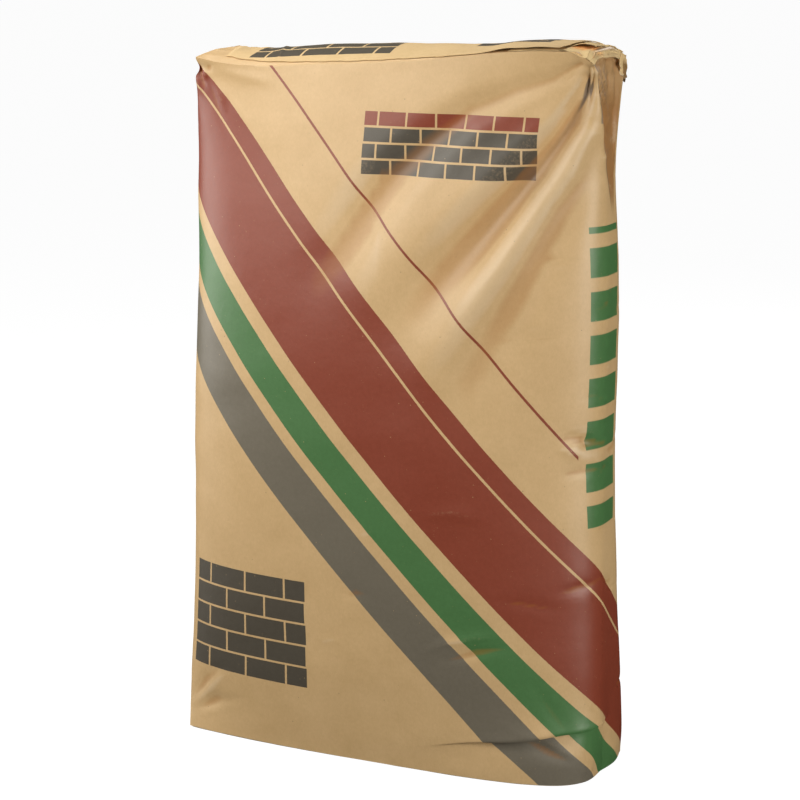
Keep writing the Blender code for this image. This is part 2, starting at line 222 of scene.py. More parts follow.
# The pinched fold above the bottom right corner: where it runs, and its section from below to above,
# as share of the fold's rows, distance outwards and height
FOOT_FOLD = [(0.030, 0.020), (0.099, 0.037), (0.145, 0.045), (0.185, 0.054), (0.240, 0.058)]
FOOT_OVERHANG = 0.0050
FOOT_TUCK = 0.0045
FOOT_FOLD_REACH = 0.018
FOOT_FOLD_BAND = 0.0050
FOOT_FOLD_GROWS = (0.05, 0.60)
FOOT_FOLD_FADE = (-0.010, 0.030)
FOOT_SECTION = [
    (0.00, -0.0042, -0.0025),
    (0.14, -0.0038, -0.0008),
    (0.28, -0.0030, 0.0014),
    (0.40, -0.0018, 0.0028),
    (0.52, 0.0000, 0.0026),
    (0.64, 0.0018, 0.0010),
    (0.76, 0.0034, -0.0004),
    (0.86, 0.0044, -0.0006),
    (0.94, 0.0049, 0.0006),
    (1.00, 0.0050, 0.0025),
]

# The narrow side above the bottom right edge, which the powder pushes out
FOOT_BULGE = 0.0042
FOOT_BULGE_MIDDLE = 0.0275
FOOT_BULGE_HALF = 0.0295
FOOT_BULGE_POWER = 1.5
FOOT_BULGE_FADE = (0.015, 0.090)

# The top end: how far its two valve corners drop, from where they do so along the bag and across it, and
# how its left corners are crumpled
CORNER_DROP = 0.0085
FRONT_CORNER = ((0.1830, 0.1990), (0.036, 0.046))
BACK_CORNER = ((0.1650, 0.1985), (0.006, 0.042))
CORNER_DROP_FROM = 0.94
LEFT_CRUMPLE = 0.0013
LEFT_CRUMPLE_SIZE = 0.030
LEFT_CRUMPLE_FROM = (0.120, 0.175)

# The flat triangle of the side below the valve, which is sunken, creased and crumpled, and the wider
# patch around it, whose inner paper gets painted shade. Rims are shares of the way from the front crease to
# the middle
VALVE_SIDE_FROM = 0.15
LEAST_TRIANGLE = 0.004
FACET_RIM = (0.02, 0.35)
FACET_FROM = (0.575, 0.625)
FACET_UP_TO = 0.985
FACET_CREASING = 0.85
FACET_CRUMPLE = 0.0007
FACET_CRUMPLE_SIZE = 0.030
FACET_SINK = 0.0040
FACET_PATCH_RIM = 0.12
FACET_PATCH_FROM = (0.535, 0.560)

# The glued seam down the back of the tube: its place across the tube, how far it stands up, and how
# wide it takes to run out
SEAM_PLACE = 0.605
SEAM_STEP = 0.0007
SEAM_RUN = 0.030

# A crest mark of 1 is given where the paper stands this far above its surroundings
CREST_LIFT = 0.0005
SMOOTHING_PASSES = 4


def eased(stations, t):
    """Smooth curve through the stations, read at t."""
    places, values = np.array(stations, float).T
    slopes = np.gradient(values, places)
    t = np.clip(np.asarray(t, float), places[0], places[-1])
    i = np.clip(np.searchsorted(places, t, side="right") - 1, 0, len(places) - 2)
    span = places[i + 1] - places[i]
    k = (t - places[i]) / span
    start = values[i] * (1 + 2 * k) * (1 - k) ** 2 + slopes[i] * span * k * (1 - k) ** 2
    end = values[i + 1] * k**2 * (3 - 2 * k) + slopes[i + 1] * span * k**2 * (k - 1)
    return start + end


def ramp(value, low, high):
    """0 below low, 1 above high, smooth between them."""
    k = np.clip((value - low) / (high - low), 0, 1)
    return k * k * (3 - 2 * k)


def closer(count, squeeze):
    """Shares from 0 to 1 that lie closer together towards 1."""
    k = np.linspace(0, 1, count + 1)
    return k + squeeze * np.sin(np.pi * k) / np.pi


def from_path(across, up, path):
    """Distance of each point from a path, the side of it that the point is on, and how far along it is."""
    nearest = np.full(across.shape, np.inf)
    side = np.zeros(across.shape)
    along = np.zeros(across.shape)
    legs = list(zip(path, path[1:]))
    for number, ((a0, b0), (a1, b1)) in enumerate(legs):
        length = (a1 - a0) ** 2 + (b1 - b0) ** 2
        k = np.clip(((across - a0) * (a1 - a0) + (up - b0) * (b1 - b0)) / length, 0, 1)
        away = np.hypot(across - a0 - k * (a1 - a0), up - b0 - k * (b1 - b0))
        nearer = away < nearest
        turn = (a1 - a0) * (up - b0) - (b1 - b0) * (across - a0)
        nearest = np.where(nearer, away, nearest)
        side = np.where(nearer, np.sign(turn), side)
        along = np.where(nearer, (number + k) / len(legs), along)
    return nearest, side, along


FOLD_MARGIN = 4
CREST_ROUNDING = 0.2
SHORT_FOLD_TIP = 0.4


def press_fold(lift, across, up, path, depths, half_widths, sharp=0):
    """Adds one fold to the lift, near its path only. Its depth and its half width are given at the start,
    middle and end of the path, and run smoothly between them."""
    spots = np.array(path)
    margin = FOLD_MARGIN * max(half_widths)
    low = spots.min(axis=0) - margin
    high = spots.max(axis=0) + margin
    near = (across > low[0]) & (across < high[0]) & (up > low[1]) & (up < high[1])
    away, _, along = from_path(across[near], up[near], path)
    depth = np.interp(ramp(along, 0, 0.5) + ramp(along, 0.5, 1), (0, 1, 2), depths)
    away = away / np.interp(along, (0, 0.5, 1), half_widths)
    if sharp:
        section = np.exp(CREST_ROUNDING - np.sqrt(away**2 + CREST_ROUNDING**2))
    else:
        section = np.exp(-(away**2))
    lift[near] += depth * section


def press_short_fold(lift, across, up, path, depth, half_width, sharp):
    """A fold that is deepest and widest half way."""
    tip = SHORT_FOLD_TIP * half_width
    press_fold(lift, across, up, path, (0, depth, 0), (tip, half_width, tip), sharp)


def quarter(reach, corner, depth, power, root, shares):
    """Points from the middle of a face to its corner, at shares of the way along the paper."""
    share = 1 - (1 - np.linspace(0, 1, OUTLINE_SAMPLES)) ** 3
    x = reach * share
    y = corner + (depth - corner) * np.clip(1 - share**power, 0, 1) ** (1 / root)
    run = np.concatenate([[0], np.cumsum(np.hypot(np.diff(x), np.diff(y)))])
    places = run[-1] * shares
    return np.column_stack([np.interp(places, run, x), np.interp(places, run, y)])


FACE_SHARES = closer(FACE_COLUMNS, FACE_SQUEEZE)
VALVE_SHARES = closer(VALVE_COLUMNS, VALVE_SQUEEZE)
FOOT_RING = RINGS // 15  # the outline that the pinched fold is laid along
FRONT_COLUMNS = FACE_COLUMNS + VALVE_COLUMNS
RIGHT_EDGE = FRONT_COLUMNS + SIDE_COLUMNS // 2
LEFT_EDGE = 2 * FRONT_COLUMNS + SIDE_COLUMNS + SIDE_COLUMNS // 2


def ring(t):
    """Closed outline of the sack at a share of its height, from the front left corner round to it again,
    and the place of each point across the flat tube, whose edges are at 0.25 and 0.75."""
    left = eased(LEFT_REACH, t)
    right = eased(RIGHT_REACH, t)
    front = eased(FRONT_DEPTH, t)
    back = eased(BACK_DEPTH, t)
    square = (eased(ARCH_POWER, t), eased(ARCH_ROOT, t))
    rounded = (eased(ROUND_ARCH_POWER, t), eased(ROUND_ARCH_ROOT, t))
    corner = eased(SQUARE_CORNER, t)
    front_left = quarter(left, corner, front, *square, FACE_SHARES) * (-1, -1)
    front_right = quarter(right, eased(ROUND_CORNER, t), front, *rounded, VALVE_SHARES) * (1, -1)
    back_right = quarter(right, corner, back, *square, VALVE_SHARES)
    back_left = quarter(left, corner, back, *square, FACE_SHARES) * (-1, 1)
    share = np.linspace(0, 1, SIDE_COLUMNS + 1)[1:-1, None]
    right_side = front_right[-1] * (1 - share) + back_right[-1] * share
    left_side = back_left[-1] * (1 - share) + front_left[-1] * share
    runs = [front_left[::-1], front_right[1:], right_side, back_right[::-1], back_left[1:], left_side]
    outline = np.vstack(runs + [front_left[-1:]])
    run = np.concatenate([[0], np.cumsum(np.linalg.norm(np.diff(outline, axis=0), axis=1))])
    edges = [run[LEFT_EDGE] - run[-1], run[RIGHT_EDGE], run[LEFT_EDGE], run[RIGHT_EDGE] + run[-1]]
    return outline, GIRTH * np.interp(run, edges, [-0.25, 0.25, 0.75, 1.25])


def raised(x, y, t):
    """Height of a point of the wall: level at the bottom, and following the top crease at the top."""
    level = BODY_BOTTOM + (HEIGHT - BODY_BOTTOM) * t
    arch = eased(END_ARCH, x) * np.clip(1 - (y / eased(SQUARE_CORNER, 1.0)) ** 2, 0, 1)
    return level + (eased(CREASE_HEIGHT, x) + arch - HEIGHT) * t**END_TILT_POWER


def wall_shares(x):
    """Share of the height of each row, for each column: the rows follow the pinched fold at the foot."""
    fold = (eased(FOOT_FOLD, x) - BODY_BOTTOM) / (HEIGHT - BODY_BOTTOM)
    half = 0.5 * FOOT_FOLD_BAND / HEIGHT
    k = np.linspace(0, 1, FOOT_ROWS + 1)[:, None]
    foot = (k - FOOT_SQUEEZE * np.sin(np.pi * k) / np.pi) * (fold - half)
    band = fold - half + 2 * half * np.linspace(0, 1, FOLD_ROWS + 1)[1:-1, None]
    k = np.linspace(0, 1, WALL_ROWS + 1)[:, None]
    k = k - WALL_SQUEEZE * np.sin(2 * np.pi * k) / (2 * np.pi) + TOP_SQUEEZE * np.sin(np.pi * k) / np.pi
    wall = fold + half + (1 - fold - half) * k
    return np.vstack([foot, band, wall])


SIDE_FOLDS = 22
SIDE_FOLD_SPREAD = 0.014
SIDE_FOLD_HEIGHTS = (0.07, 0.60)
SIDE_FOLD_HALF_LENGTHS = (0.014, 0.036)
SIDE_FOLD_LEAN = 0.30
SIDE_FOLD_BOW = 0.004
SIDE_FOLD_DEPTHS = (0.0004, 0.0015)
SIDE_FOLD_WIDTHS = (0.0022, 0.0045)
CORNERS_ACROSS = (-0.21, 0.21, 0.29, 0.71)
VALVE_CORNER = 0.21
BOTTOM_CORNER_HEIGHT = 0.012
TOP_CORNER_HEIGHT = 0.664
CORNER_FOLDS = 5
CORNER_FOLD_SLOPES = (0.15, 1.3)
CORNER_FOLD_LENGTHS = (0.040, 0.110)
CORNER_FOLD_STARTS = (0.02, 0.01)
CORNER_FOLD_BOW = 0.003
CORNER_FOLD_DEPTHS = (0.0005, 0.0014)
CORNER_FOLD_WIDTHS = (0.004, 0.009)


def chance_folds(lift, across, up):
    """Short folds where the filled paper is pushed together: across the two narrow sides, and out of
    the eight corners into the faces, apart from the front corner at the valve."""
    dice = np.random.default_rng(50)
    for edge in (0.25, 0.75):
        for _ in range(SIDE_FOLDS):
            middle = edge + dice.normal(0, SIDE_FOLD_SPREAD)
            height = dice.uniform(*SIDE_FOLD_HEIGHTS)
            half = dice.uniform(*SIDE_FOLD_HALF_LENGTHS)
            lean = dice.normal(0, SIDE_FOLD_LEAN) * half
            bow = dice.normal(0, SIDE_FOLD_BOW)
            path = [(middle - half, height - lean), (middle, height + bow), (middle + half, height + lean)]
            depth = dice.choice([-1, -1, 1]) * dice.uniform(*SIDE_FOLD_DEPTHS)
            press_short_fold(lift, across, up, path, depth, dice.uniform(*SIDE_FOLD_WIDTHS), 1)
    for corner in CORNERS_ACROSS:
        for end, inwards in ((BOTTOM_CORNER_HEIGHT, 1), (TOP_CORNER_HEIGHT, -1)):
            if corner == VALVE_CORNER and end == TOP_CORNER_HEIGHT:
                continue
            for _ in range(CORNER_FOLDS):
                turn = np.sign(0.5 - corner) if corner > 0.25 else -np.sign(corner)
                slope = dice.uniform(*CORNER_FOLD_SLOPES)
                length = dice.uniform(*CORNER_FOLD_LENGTHS)
                aside = turn * dice.uniform(0, CORNER_FOLD_STARTS[0])
                start = np.array([corner + aside, end + inwards * dice.uniform(0, CORNER_FOLD_STARTS[1])])
                way = np.array([turn * np.cos(slope), inwards * np.sin(slope)]) * length
                middle = start + 0.5 * way + dice.normal(0, CORNER_FOLD_BOW, 2)
                path = [tuple(start), tuple(middle), tuple(start + way)]
                depth = dice.choice([-1, 1]) * dice.uniform(*CORNER_FOLD_DEPTHS)
                press_short_fold(lift, across, up, path, depth, dice.uniform(*CORNER_FOLD_WIDTHS), 0)


FULL_TURN = 6.28
SLACK_LENGTHS = (0.24, 0.19, 0.15, 0.12, 0.095, 0.075, 0.060, 0.048)
SLACK_DEPTH = 0.0011
SLACK_LEAST_CLIMB = 4.0


def slack(across, up):
    """Broad waves of paper that isn't quite tight."""
    dice = np.random.default_rng(7)
    waves = np.zeros(across.shape)
    for length in SLACK_LENGTHS:
        turns = round(GIRTH / length * np.cos(dice.uniform(0, np.pi))) / GIRTH
        climb = dice.choice([-1, 1]) * np.sqrt(max((1 / length) ** 2 - turns**2, SLACK_LEAST_CLIMB))
        phase = dice.uniform(0, FULL_TURN)
        waves += length * SLACK_DEPTH * np.sin(2 * np.pi * (turns * across + climb * up) + phase)
    return waves


CRUMPLE_LENGTHS = np.array([1.0, 0.82, 0.66, 0.52, 0.41, 0.30])
CRUMPLE_BEND = 0.22
CRUMPLE_BEND_LENGTH = 2.6
CRUMPLE_RANGE = 1.8


def crumple(across, up, size, seed):
    """Heights from about -1 to 1 of crumpled paper: straight creases of every slant, which bend a bit."""
    dice = np.random.default_rng(seed)
    height = np.zeros(across.shape)
    for length in size * CRUMPLE_LENGTHS:
        turn = dice.uniform(0, np.pi)
        along = across * np.cos(turn) + up * np.sin(turn)
        aside = up * np.cos(turn) - across * np.sin(turn)
        wave = 2 * np.pi * aside / (CRUMPLE_BEND_LENGTH * length)
        bend = CRUMPLE_BEND * np.sin(wave + dice.uniform(0, FULL_TURN))
        k = along / length + bend + dice.uniform()
        height += length / size * (4 * np.abs(k % 1 - 0.5) - 1)
    return height / CRUMPLE_RANGE


def deselect_all():
    bpy.ops.object.select_all(action="DESELECT")


def paper_sheet(name, places, print_places):
    """A grid of paper, with its points moved to their places. Its UV map is the flat print in metres."""
    rows, columns = places.shape[:2]
    deselect_all()
    cells = {"x_subdivisions": columns - 1, "y_subdivisions": rows - 1}
    bpy.ops.mesh.primitive_grid_add(size=1.0, location=(0, 0, 0), **cells)
    sheet = bpy.context.object
    sheet.name = name
    sheet.data.name = name
    sheet.data.vertices.foreach_set("co", places.reshape(-1))
    corners = np.zeros(len(sheet.data.loops), int)
    sheet.data.loops.foreach_get("vertex_index", corners)
    sheet.data.uv_layers.active.name = "print"
    sheet.data.uv_layers.active.uv.foreach_set("vector", print_places.reshape(-1, 2)[corners].reshape(-1))
    sheet.data.update()
    return sheet


def add_mark(sheet, name, values):
    """Keeps a value for each point of the sheet, for its material."""
    mark = sheet.data.attributes.new(name, "FLOAT", "POINT")
    mark.data.foreach_set("value", values.reshape(-1).astype(np.float32))


WELD = 0.00001


def join(sheets):
    """Joins sheets into the first one."""
    deselect_all()
    for sheet in sheets:
        sheet.select_set(True)
    bpy.context.view_layer.objects.active = sheets[0]
    bpy.ops.object.join()
    return sheets[0]


def join_closed(sheets):
    """Joins sheets into the first one along their shared edges, with the faces pointing outwards."""
    closed = join(sheets)
    bpy.ops.object.mode_set(mode="EDIT")
    bpy.ops.mesh.select_all(action="SELECT")
    bpy.ops.mesh.remove_doubles(threshold=WELD)
    bpy.ops.mesh.normals_make_consistent(inside=False)
    bpy.ops.object.mode_set(mode="OBJECT")
    return closed


def smooth_grid(values, passes):
    """The values with their small steps evened out."""
    for _ in range(passes):
        padded = np.pad(values, 1, mode="edge")
        values = (padded[:-2, 1:-1] + padded[2:, 1:-1] + padded[1:-1, :-2] + padded[1:-1, 2:]) / 4
    return values


def across_end(outline, wide, deep):
    """Grid that fills a closed outline from its front edge to its back edge, by blending its four sides."""
    front = outline[: wide + 1]
    right = outline[wide : wide + deep + 1]
    back = outline[wide + deep : 2 * wide + deep + 1][::-1]
    left = outline[2 * wide + deep :][::-1]
    u = np.linspace(0, 1, wide + 1)[None, :, None]
    v = np.linspace(0, 1, deep + 1)[:, None, None]
    grid = (1 - v) * front[None] + v * back[None] + (1 - u) * left[:, None] + u * right[:, None]
    corners = (1 - u) * (1 - v) * front[0] + u * (1 - v) * front[-1]
    corners = corners + (1 - u) * v * back[0] + u * v * back[-1]
    return grid - corners


def left_tucks(x, y):
    """Crumples of the folded-in corners at the left of the top end."""
    return LEFT_CRUMPLE * crumple(x, y, LEFT_CRUMPLE_SIZE, seed=12) * ramp(-x, *LEFT_CRUMPLE_FROM)


def corner_drop(x, y):
    """How far the two corners of the valve's end hang below the line of the crease."""
    front_corner = ramp(x, *FRONT_CORNER[0]) * ramp(-y, *FRONT_CORNER[1])
    back_corner = ramp(x, *BACK_CORNER[0]) * ramp(y, *BACK_CORNER[1])
    return CORNER_DROP * (front_corner + back_corner)


def crowned_top(edge, drop):
    """Grid of the top end, which the powder pushes up, and whose valve corners hang down by the drop."""
    level_edge = edge.copy()
    level_edge[:, 2] += drop
    grid = across_end(level_edge, FRONT_COLUMNS, SIDE_COLUMNS)
    u = np.linspace(-1, 1, FRONT_COLUMNS + 1)[None, :]
    v = np.linspace(-1, 1, SIDE_COLUMNS + 1)[:, None]
    inner = (1 - v**2) * (1 - u**CROWN_SQUARENESS)
    x = grid[..., 0] - CENTRING_SHIFT
    grid[..., 2] += (eased(CROWN, x) + left_tucks(x, grid[..., 1])) * inner
    grid[..., 2] -= corner_drop(x, grid[..., 1])
    return grid


def end_sheet(name, grid, beyond):
    """Sheet that closes an end of the tube. Its print is kept apart from the tube's, and stays bare."""
    end = paper_sheet(name, grid, np.dstack([grid[..., 0], beyond + grid[..., 1]]))
    add_mark(end, "crest", np.zeros(grid.shape[:2]))
    add_mark(end, "crushed", np.zeros(grid.shape[:2]))
    return end


def build_sack():
    levels = np.linspace(0, 1, RINGS + 1)
    outlines, girths = zip(*(ring(t) for t in levels))
    outlines = np.array(outlines)
    girths = np.array(girths)
    share = wall_shares(outlines[FOOT_RING, :, 0])
    low = np.clip((share * RINGS).astype(int), 0, RINGS - 1)
    part = share * RINGS - low
    column = np.broadcast_to(np.arange(share.shape[1]), share.shape)
    flat = outlines[low, column] * (1 - part[..., None]) + outlines[low + 1, column] * part[..., None]
    across = girths[low, column] * (1 - part) + girths[low + 1, column] * part
    x, y = flat[..., 0], flat[..., 1]
    z = raised(x, y, share)
    z -= corner_drop(x, y) * ramp(share, CORNER_DROP_FROM, 1.0)

    step = np.roll(flat[:, :-1], -1, axis=1) - np.roll(flat[:, :-1], 1, axis=1)
    outward = np.stack([step[..., 1], -step[..., 0]], axis=-1)
    outward = np.concatenate([outward, outward[:, :1]], axis=1)
    outward /= np.linalg.norm(outward, axis=-1, keepdims=True)

    # The folds of the front go by x and height, and run out where the front turns into a side
    lift = np.zeros(x.shape)
    for path, depths, half_widths in VALVE_FOLDS:
        press_fold(lift, x, z, path, depths, half_widths)
    for path, depth, half_width, sharp in FRONT_FOLDS:
        press_short_fold(lift, x, z, path, depth, half_width, sharp)
    beside_valve = ramp(z, *BESIDE_VALVE)
    lift *= ramp(-y, *FOLDS_FADE) * (1 - beside_valve) + ramp(-y, *VALVE_FOLDS_FADE) * beside_valve
    chance_folds(lift, across, z)
    lift += slack(across, z)
    lift += SEAM_STEP * (across > SEAM_PLACE) * (1 - ramp(across, SEAM_PLACE, SEAM_PLACE + SEAM_RUN))
    lift *= ramp(share, 0, FOLDS_START) * (1 - ramp(share, FOLDS_STOP, 1.0))

    # The triangle below the valve is pressed in between its two creases
    half_triangle = np.maximum(eased(SQUARE_CORNER, share), LEAST_TRIANGLE)
    below_valve = (x > VALVE_SIDE_FROM) * (1 - ramp(share, FACET_UP_TO, 1.0))
    triangle = ramp(1 - np.abs(y) / half_triangle, *FACET_RIM) * ramp(z, *FACET_FROM) * below_valve
    creases = np.zeros(x.shape)
    for path, depth, half_width, sharp in FACET_FOLDS:
        press_short_fold(creases, y, z, path, depth, half_width, sharp)
    crumples = FACET_CRUMPLE * crumple(y, z, FACET_CRUMPLE_SIZE, seed=11)
    lift += triangle * (FACET_CREASING * creases + crumples - FACET_SINK)
    # The wider patch around the triangle, where the material paints shade on the bare inner paper
    facet_patch = ramp(1 - y / half_triangle, 0, FACET_PATCH_RIM) * ramp(z, *FACET_PATCH_FROM) * below_valve

    # The foot fold is a real overlap of the paper, so its rows also move up and down
    away, side, along = from_path(x, z, FOOT_FOLD)
    grow = ramp(along, *FOOT_FOLD_GROWS) * ramp(-y, *FOOT_FOLD_FADE)
    over = FOOT_OVERHANG * np.exp(-np.maximum(away - FOOT_FOLD_BAND / 2, 0) / FOOT_FOLD_REACH)
    tuck = -FOOT_TUCK * np.exp(-((away / FOOT_FOLD_REACH) ** 2))
    fold_lift = np.where(side > 0, over, tuck)
    rise = np.zeros(x.shape)
    rows = slice(FOOT_ROWS, FOOT_ROWS + FOLD_ROWS + 1)
    k = np.linspace(0, 1, FOLD_ROWS + 1)[:, None]
    stations = np.array(FOOT_SECTION)
    fold_lift[rows] = eased(stations[:, :2], k)
    rise[rows] = eased(stations[:, [0, 2]], k) - FOOT_FOLD_BAND * (k - 0.5)
    rise *= grow
    off_middle = (y - FOOT_BULGE_MIDDLE) / FOOT_BULGE_HALF
    foot_bulge = FOOT_BULGE * np.clip(1 - off_middle**2, 0, 1) ** FOOT_BULGE_POWER
    foot_bulge *= (1 - ramp(z, *FOOT_BULGE_FADE)) * (x > VALVE_SIDE_FROM)
    lift_all = lift + foot_bulge + fold_lift * grow * ramp(share, 0, FOLDS_START)

    places = np.dstack([flat + outward * lift_all[..., None], z + rise])
    places[..., 0] += CENTRING_SHIFT

    # The print's height is the paper's own length, counted from the middle row
    smooth = np.dstack([flat + outward * (fold_lift * grow)[..., None], z + rise])
    legs = np.linalg.norm(np.diff(smooth, axis=0), axis=2)
    run = np.vstack([0 * legs[:1], np.cumsum(legs, axis=0)])
    middle = len(run) // 2
    paper_height = places[middle, :, 2] + run - run[middle]

    wall = paper_sheet("sack", places, np.dstack([across, paper_height]))
    bend = lift - smooth_grid(lift, SMOOTHING_PASSES)
    add_mark(wall, "crest", np.clip(bend / CREST_LIFT, -1, 1))
    add_mark(wall, "crushed", facet_patch)
    bottom = end_sheet("bottom end", across_end(places[0], FRONT_COLUMNS, SIDE_COLUMNS), -1.0)
    top_grid = crowned_top(places[-1], corner_drop(x[-1], y[-1]))
    top = end_sheet("top end", top_grid, 1.0)
    return join_closed([wall, bottom, top]), top_grid, places[0]


def pick(item):
    """Selects one piece, and nothing else."""
    deselect_all()
    item.select_set(True)
    bpy.context.view_layer.objects.active = item


def shade_smooth(item, degrees):
    pick(item)
    bpy.ops.object.shade_smooth_by_angle(angle=np.radians(degrees))


class Wire:
    """A socket of a material. A sum written on it adds the Math node for that sum."""

    def __init__(self, tree, socket=None):
        self.tree = tree
        self.socket = socket

    def node(self, kind, settings=None, sockets=None, out=0):
        """Adds a node: its settings first, then the values or links of its sockets."""
        made = self.tree.nodes.new("ShaderNode" + kind)
        for name, value in (settings or {}).items():
            setattr(made, name, value)
        for name, value in (sockets or {}).items():
            if isinstance(value, Wire):
                self.tree.links.new(value.socket, made.inputs[name])
            else:
                made.inputs[name].default_value = value
        return Wire(self.tree, made.outputs[out] if made.outputs else None)

    def also(self, out):
        """Another output of the same node."""
        return Wire(self.tree, self.socket.node.outputs[out])

    def maths(self, operation, *terms, clamp=False):
        settings = {"operation": operation, "use_clamp": clamp}
        return self.node("Math", settings, dict(enumerate(terms)))

    def __add__(self, other):
        return self.maths("ADD", self, other)

    def __sub__(self, other):
        return self.maths("SUBTRACT", self, other)

    def __rsub__(self, other):
        return self.maths("SUBTRACT", other, self)

    def __mul__(self, other):
        return self.maths("MULTIPLY", self, other)

    def __truediv__(self, other):
        return self.maths("DIVIDE", self, other)

    __radd__ = __add__
    __rmul__ = __mul__

    def clipped(self):
        return self.maths("MULTIPLY", self, 1.0, clamp=True)

    def past(self, edge, soft):
        """1 where the value is past the edge, with a step that is this soft."""
        return ((self - edge) / soft + 0.5).clipped()

    def between(self, low, high, soft=0.0004):
        """1 where the value is between low and high, with an edge as soft as ink on paper."""
        middle = (low + high) / 2
        off = self.maths("ABSOLUTE", self - middle)
        return (((high - low) / 2 - off) / soft + 0.5).clipped()

    def above(self, level, steepness, most=1.0):
        """0 up to the level, and above it a slope of this steepness, up to the most."""
        return ((self - level) * steepness).clipped() * most

    def below(self, level, steepness, most=1.0):
        """0 down to the level, and below it a slope of this steepness, up to the most."""
        return ((level - self) * steepness).clipped() * most


def mixed(wire, amount, under, over, blend="MIX"):
    """A colour, mixed from two by an amount."""
    settings = {"data_type": "RGBA", "blend_type": blend}
    under = under if isinstance(under, Wire) else (*under, 1)
    over = over if isinstance(over, Wire) else (*over, 1)
    return wire.node("Mix", settings, {"Factor": amount, 6: under, 7: over}, out=2)


# Colours of the paper, of its four inks, of its bark specks, and of the shade painted into its folds and
# along its seam
KRAFT_LIGHT = (0.690, 0.462, 0.226)
KRAFT_DARK = (0.556, 0.358, 0.157)
KRAFT_WORN = (0.760, 0.600, 0.400)
BARK = (0.160, 0.090, 0.045)
BRICK_RED = (0.236, 0.036, 0.018)
LEAF_GREEN = (0.050, 0.170, 0.052)
SLATE_GREY = (0.150, 0.133, 0.098)
SOOT = (0.062, 0.056, 0.044)
PAINTED_FOLD_SHADE = (0.370, 0.130, 0.010)
SEAM_SHADOW = (0.100, 0.060, 0.030)
SHEEN_TINT = (1.0, 0.95, 0.86, 1)

# Noises of the paper, as scale, detail and roughness, and the depth that each gives to its surface
PULP_CLOUDS = (26.0, 5.0, 0.62)
PULP = (260.0, 3.0, 0.60)
PULP_DEPTH = 0.00006
FIBRES = (1500.0, 2.0, 0.55)
FIBRE_DEPTH = 0.00003
FIBRE_STRETCH = 0.22
GRAIN = 0.6
DENTS = (17.0, 1.0, 0.50)
DENT_DEPTH = 0.0016
CRINKLES = (62.0, 3.0, 0.55)
CRINKLE_DEPTH = 0.00060
ROUGHNESS_VARIES = 0.10

# Specks of bark: how dense they are, how large, and which of them show
SPECK_SCALE = 140.0
SPECK_SIZE = 0.10
SPECK_EDGE = 0.05
SPECK_FIELDS = (61.0, 1.0)
SPECKS_SHOW = (0.60, 12.0)
SPECK_STRENGTH = 0.55


def new_material(name):
    made = bpy.data.materials.new(name)
    made.use_nodes = True
    made.node_tree.nodes.clear()
    return made, Wire(made.node_tree)


def noise(wire, place, scale, detail, roughness=0.5):
    sockets = {"Vector": place, "Scale": scale, "Detail": detail, "Roughness": roughness}
    return wire.node("TexNoise", {}, sockets)


def kraft_colour(wire, place, light, dark):
    """Kraft paper: cloudy pulp, short fibres, and a few dark specks of bark."""
    cloud = noise(wire, place, *PULP_CLOUDS)
    pulp = noise(wire, place, *PULP)
    long_way = wire.node("Mapping", {}, {"Vector": place, "Scale": (1.0, 1.0, FIBRE_STRETCH)})
    fibre = noise(wire, long_way, *FIBRES)
    shade = cloud + (pulp - 0.5) * GRAIN + (fibre - 0.5) * GRAIN
    colour = mixed(wire, shade.clipped(), dark, light)
    speck = wire.node("TexVoronoi", {"feature": "F1"}, {"Vector": place, "Scale": SPECK_SCALE})
    chosen = noise(wire, place, *SPECK_FIELDS).above(*SPECKS_SHOW)
    bark = (SPECK_SIZE - speck) / SPECK_EDGE * chosen
    colour = mixed(wire, (bark * SPECK_STRENGTH).clipped(), colour, BARK)
    return colour, pulp, fibre


def mark_of(wire, name):
    """The value that the points of the sheet were marked with."""
    return wire.node("Attribute", {"attribute_name": name}, out=2)


def print_place(wire):
    """Place on the flat print: across it, and up it."""
    split = wire.node("SeparateXYZ", {}, {"Vector": wire.node("UVMap", {"uv_map": "print"})})
    return split.also("X"), split.also("Y")


def paper_bump(wire, place, pulp, fibre, strength, creases=0.0):
    """Dents and crinkles of handled paper, the grain of its fibres, and any deeper creases."""
    height = noise(wire, place, *DENTS) * DENT_DEPTH + noise(wire, place, *CRINKLES) * CRINKLE_DEPTH
    height = height + pulp * PULP_DEPTH + fibre * FIBRE_DEPTH + creases
    return wire.node("Bump", {}, {"Strength": strength, "Distance": 1.0, "Height": height})


def finish_paper(wire, colour, roughness, bump, sheen=0.56):
    """The surface of dry paper, with the faint warm sheen of pressed fibres."""
    looks = {"Base Color": colour, "Roughness": roughness, "Normal": bump}
    gloss = {"Specular IOR Level": sheen, "Specular Tint": SHEEN_TINT}
    surface = wire.node("BsdfPrincipled", {}, looks | gloss)
    wire.node("OutputMaterial", {}, {"Surface": surface})


# The print, in metres on the flat paper: across the tube from its front's middle, and up it. The stripes
# lie across a slanted line, at these distances from it. The heights of ON_TUBE leave the two ends bare
STRIPE_ANGLE = np.radians(47)
STRIPE_MIDDLE = 0.370
FRONT_PRINT = (-0.262, 0.286)
BACK_PRINT_MARGIN = 0.006
ON_TUBE = (-0.1, 0.8)
FAR = 0.6
PINSTRIPE = (0.1135, 0.1160)
RED_BAND = (-0.045, 0.055)
CREAM_LINE = (0.0335, 0.0360)
GREEN_BAND = (-0.092, -0.060)
GREY_BAND = (-0.148, -0.104)
STRIPE_CLEARANCE = 0.010
EDGE_WANDER = 0.0005
EDGE_NOISE = (900.0, 1.0)
BRICK_SIZE = (0.045, 0.022)
BRICK_PANEL = ((-0.2015, -0.0675), (0.0665, 0.1755))
SMALL_BRICK_SIZE = (0.0300, 0.0150)
SMALL_PANEL = ((-0.0145, 0.1645), (0.5705, 0.6295))
RED_COURSE = 0.6145
MORTAR = 0.0022
DASH_PLACE = (0.214, 0.262)
DASH_CLEARANCE = (0.206, 0.290)
DASHES = (0.25, 0.53)
DASH_GAP = 0.012
DASH_PITCH = 0.040
DASH_SHARE = (0.10, 0.78)
DASH_SOFT = 0.02
